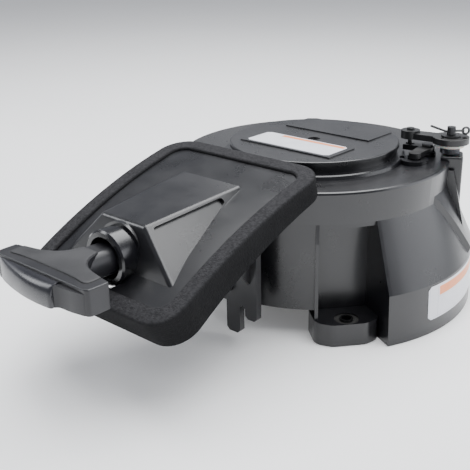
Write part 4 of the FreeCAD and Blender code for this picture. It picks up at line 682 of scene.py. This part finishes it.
def build_rope():
    """The starter rope: laid strands that follow the lead from the drum to the grip."""
    turn, ahead = 70.4, 247.0
    leave_ahead = turn * turn / ahead
    leave = Vector((math.sqrt(turn * turn - leave_ahead ** 2), -leave_ahead, PULL_HEIGHT))
    bend = Vector((0.0, -ahead, PULL_HEIGHT))
    slant = (leave - bend).normalized()
    forward = Vector((0.0, -1.0, 0.0))
    half = (math.pi - slant.angle(forward)) / 2.0
    reach = 30.0 * math.tan(half)
    near, far = bend + slant * reach, bend + forward * reach
    stations = [leave - slant * 28.0, (leave - slant * 28.0 + near) / 2.0]
    for step in range(9):
        t = step / 8.0
        stations.append(near * (1 - t) ** 2 + bend * 2 * t * (1 - t) + far * t * t)
    for step in range(1, 25):
        stations.append(far + (Vector((0.0, -323.5, PULL_HEIGHT)) - far) * step / 24.0)
    curve = bpy.data.curves.new("rope_route", "CURVE")
    curve.dimensions = "3D"
    spline = curve.splines.new("POLY")
    spline.points.add(len(stations) - 1)
    for point, spot in zip(spline.points, stations):
        point.co = (*(spot * MM), 1.0)
    carrier = bpy.data.objects.new("rope_route", curve)
    bpy.context.scene.collection.objects.link(carrier)

    settings = {"Rope Radius": 0.00195, "Strand Radius": 0.00052, "Strands": 10, "Lay": 0.022, "Step": 0.0012}
    tree, source, sink = node_tree("rope_strands", settings)
    nodes, links = tree.nodes, tree.links
    spread = nodes.new("GeometryNodeResampleCurve")
    spread.mode = "LENGTH"
    links.new(source.outputs["Geometry"], spread.inputs["Curve"])
    links.new(source.outputs["Step"], spread.inputs["Length"])
    along = nodes.new("GeometryNodeSplineParameter")
    twist = nodes.new("ShaderNodeMath")
    twist.operation = "DIVIDE"
    links.new(along.outputs["Length"], twist.inputs[0])
    links.new(source.outputs["Lay"], twist.inputs[1])
    whole = nodes.new("ShaderNodeMath")
    whole.operation = "MULTIPLY"
    whole.inputs[1].default_value = math.tau
    links.new(twist.outputs[0], whole.inputs[0])
    tilt = nodes.new("GeometryNodeSetCurveTilt")
    links.new(spread.outputs[0], tilt.inputs["Curve"])
    links.new(whole.outputs[0], tilt.inputs["Tilt"])
    ring = nodes.new("GeometryNodeCurvePrimitiveCircle")
    ring.mode = "RADIUS"
    ring.inputs["Resolution"].default_value = 60
    links.new(source.outputs["Rope Radius"], ring.inputs["Radius"])
    count = nodes.new("GeometryNodeSplineParameter")
    wave = nodes.new("ShaderNodeMath")
    wave.operation = "MULTIPLY"
    links.new(count.outputs["Factor"], wave.inputs[0])
    strands = nodes.new("ShaderNodeMath")
    strands.operation = "MULTIPLY"
    strands.inputs[1].default_value = math.pi
    links.new(source.outputs["Strands"], strands.inputs[0])
    links.new(strands.outputs[0], wave.inputs[1])
    lobe = nodes.new("ShaderNodeMath")
    lobe.operation = "SINE"
    links.new(wave.outputs[0], lobe.inputs[0])
    bulge = nodes.new("ShaderNodeMath")
    bulge.operation = "ABSOLUTE"
    links.new(lobe.outputs[0], bulge.inputs[0])
    swell = nodes.new("ShaderNodeMath")
    swell.operation = "MULTIPLY"
    links.new(bulge.outputs[0], swell.inputs[0])
    links.new(source.outputs["Strand Radius"], swell.inputs[1])
    outward = nodes.new("GeometryNodeInputPosition")
    unit = nodes.new("ShaderNodeVectorMath")
    unit.operation = "NORMALIZE"
    links.new(outward.outputs[0], unit.inputs[0])
    shove = nodes.new("ShaderNodeVectorMath")
    shove.operation = "SCALE"
    links.new(unit.outputs[0], shove.inputs[0])
    links.new(swell.outputs[0], shove.inputs["Scale"])
    lobes = nodes.new("GeometryNodeSetPosition")
    links.new(ring.outputs["Curve"], lobes.inputs["Geometry"])
    links.new(shove.outputs[0], lobes.inputs["Offset"])
    skin = nodes.new("GeometryNodeCurveToMesh")
    skin.inputs["Fill Caps"].default_value = True
    links.new(tilt.outputs[0], skin.inputs["Curve"])
    links.new(lobes.outputs[0], skin.inputs["Profile Curve"])
    finish_tree(tree, links, skin.outputs[0], FINISHES["rope_braid"], sink)
    rope = baked("rope_strands", carrier, tree, settings, FINISHES["rope_braid"])
    chart = rope.data.uv_layers.new(name="UVMap")
    for loop in rope.data.loops:
        spot = rope.data.vertices[loop.vertex_index].co
        chart.data[loop.index].uv = (math.atan2(spot.z - PULL_HEIGHT * MM, spot.x) / math.tau, -spot.y)
    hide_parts("rope_lead")
    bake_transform(rope)


def build_lever_spring():
    """The interlock lever's torsion spring: round wire wound round the pivot pin."""
    low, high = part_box("lever_spring")
    middle = (low + high) / 2.0
    carrier = bpy.data.objects.new("spring_seed", bpy.data.meshes.new("spring_seed"))
    bpy.context.scene.collection.objects.link(carrier)
    settings = {"Coil Radius": (high.x - low.x) / 2.0 - 0.0007, "Wire Radius": 0.00068, "Turns": 4.2,
                "Height": high.z - low.z - 0.0014}
    tree, source, sink = node_tree("spring_coil", settings)
    nodes, links = tree.nodes, tree.links
    coil = nodes.new("GeometryNodeCurveSpiral")
    coil.inputs["Resolution"].default_value = 40
    for label, socket in (("Coil Radius", "Start Radius"), ("Coil Radius", "End Radius"), ("Turns", "Rotations"),
                          ("Height", "Height")):
        links.new(source.outputs[label], coil.inputs[socket])
    wire = nodes.new("GeometryNodeCurvePrimitiveCircle")
    wire.inputs["Resolution"].default_value = 12
    links.new(source.outputs["Wire Radius"], wire.inputs["Radius"])
    skin = nodes.new("GeometryNodeCurveToMesh")
    skin.inputs["Fill Caps"].default_value = True
    links.new(coil.outputs[0], skin.inputs["Curve"])
    links.new(wire.outputs["Curve"], skin.inputs["Profile Curve"])
    finish_tree(tree, links, skin.outputs[0], FINISHES["spring_steel"], sink)
    spring = baked("spring_coil", carrier, tree, settings, FINISHES["spring_steel"])
    spring.data.transform(Matrix.Translation((middle.x, middle.y, low.z + 0.0007)))
    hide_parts("lever_spring")
    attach(spring, "case")


# ---------------------------------------------------------------- studio

def build_studio():
    floor_mesh = bpy.data.meshes.new("studio_floor")
    floor_mesh.from_pydata([(-4, -4, 0), (4, -4, 0), (4, 4, 0), (-4, 4, 0)], [], [(0, 1, 2, 3)])
    floor = bpy.data.objects.new("studio_floor", floor_mesh)
    floor_mesh.transform(Matrix.Translation((0, 0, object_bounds()[0][2] - 0.0005)))
    bpy.context.scene.collection.objects.link(floor)
    paper = Finish("pale_paper")
    mottle = wear(paper, 700.0, 3.0)
    paper.coat(Base_Color=paper.mix(mottle["Patches"], rgb(0.93, 0.93, 0.93), rgb(0.955, 0.955, 0.955)), Roughness=0.8,
               Emission_Color=rgb(1.0, 1.0, 1.0), Emission_Strength=0.14)
    floor_mesh.materials.append(paper.material)

    world = bpy.data.worlds.new("studio_air")
    world.use_nodes = True
    back = world.node_tree.nodes["Background"]
    back.inputs[0].default_value = rgb(0.86, 0.90, 1.0)
    back.inputs[1].default_value = 0.36
    bpy.context.scene.world = world

    target = Vector((0.0, -0.09, 0.08))
    for name, spot, size, power, tint in (
            ("softbox_above", (0.1, 0.15, 1.5), (2.0, 1.4), 64.0, (0.98, 0.99, 1.0)),
            ("softbox_left", (-1.2, -1.0, 1.0), (0.5, 0.9), 10.0, (0.95, 0.97, 1.0)),
            ("softbox_right", (1.25, 0.85, 0.55), (1.5, 0.8), 10.5, (0.94, 0.96, 1.0)),
            ("rim_behind", (-0.7, 1.3, 0.9), (1.2, 0.3), 1.6, (1.0, 1.0, 1.0))):
        light = bpy.data.lights.new(name, "AREA")
        light.shape, light.size, light.size_y, light.energy, light.color = "RECTANGLE", *size, power, tint
        lamp = bpy.data.objects.new(name, light)
        lamp.location = spot
        lamp.rotation_euler = (target - Vector(spot)).to_track_quat("-Z", "Y").to_euler()
        bpy.context.scene.collection.objects.link(lamp)

    camera = bpy.data.objects.new("studio_camera", bpy.data.cameras.new("studio_camera"))
    right, up, rear = (0.74331, 0.66871, -0.01783), (-0.23310, 0.28391, 0.93009), (0.62702, -0.68719, 0.36691)
    turn = Matrix((right, up, rear)).transposed().to_4x4()
    camera.matrix_world = Matrix.Translation((0.471751, -0.633880, 0.359003)) @ turn
    camera.data.sensor_width, camera.data.lens, camera.data.clip_start = 36.0, 63.57, 0.01
    bpy.context.scene.collection.objects.link(camera)
    bpy.context.scene.camera = camera


build_foam_seal()
build_grip()
build_labels()
build_rope()
build_lever_spring()
build_studio()
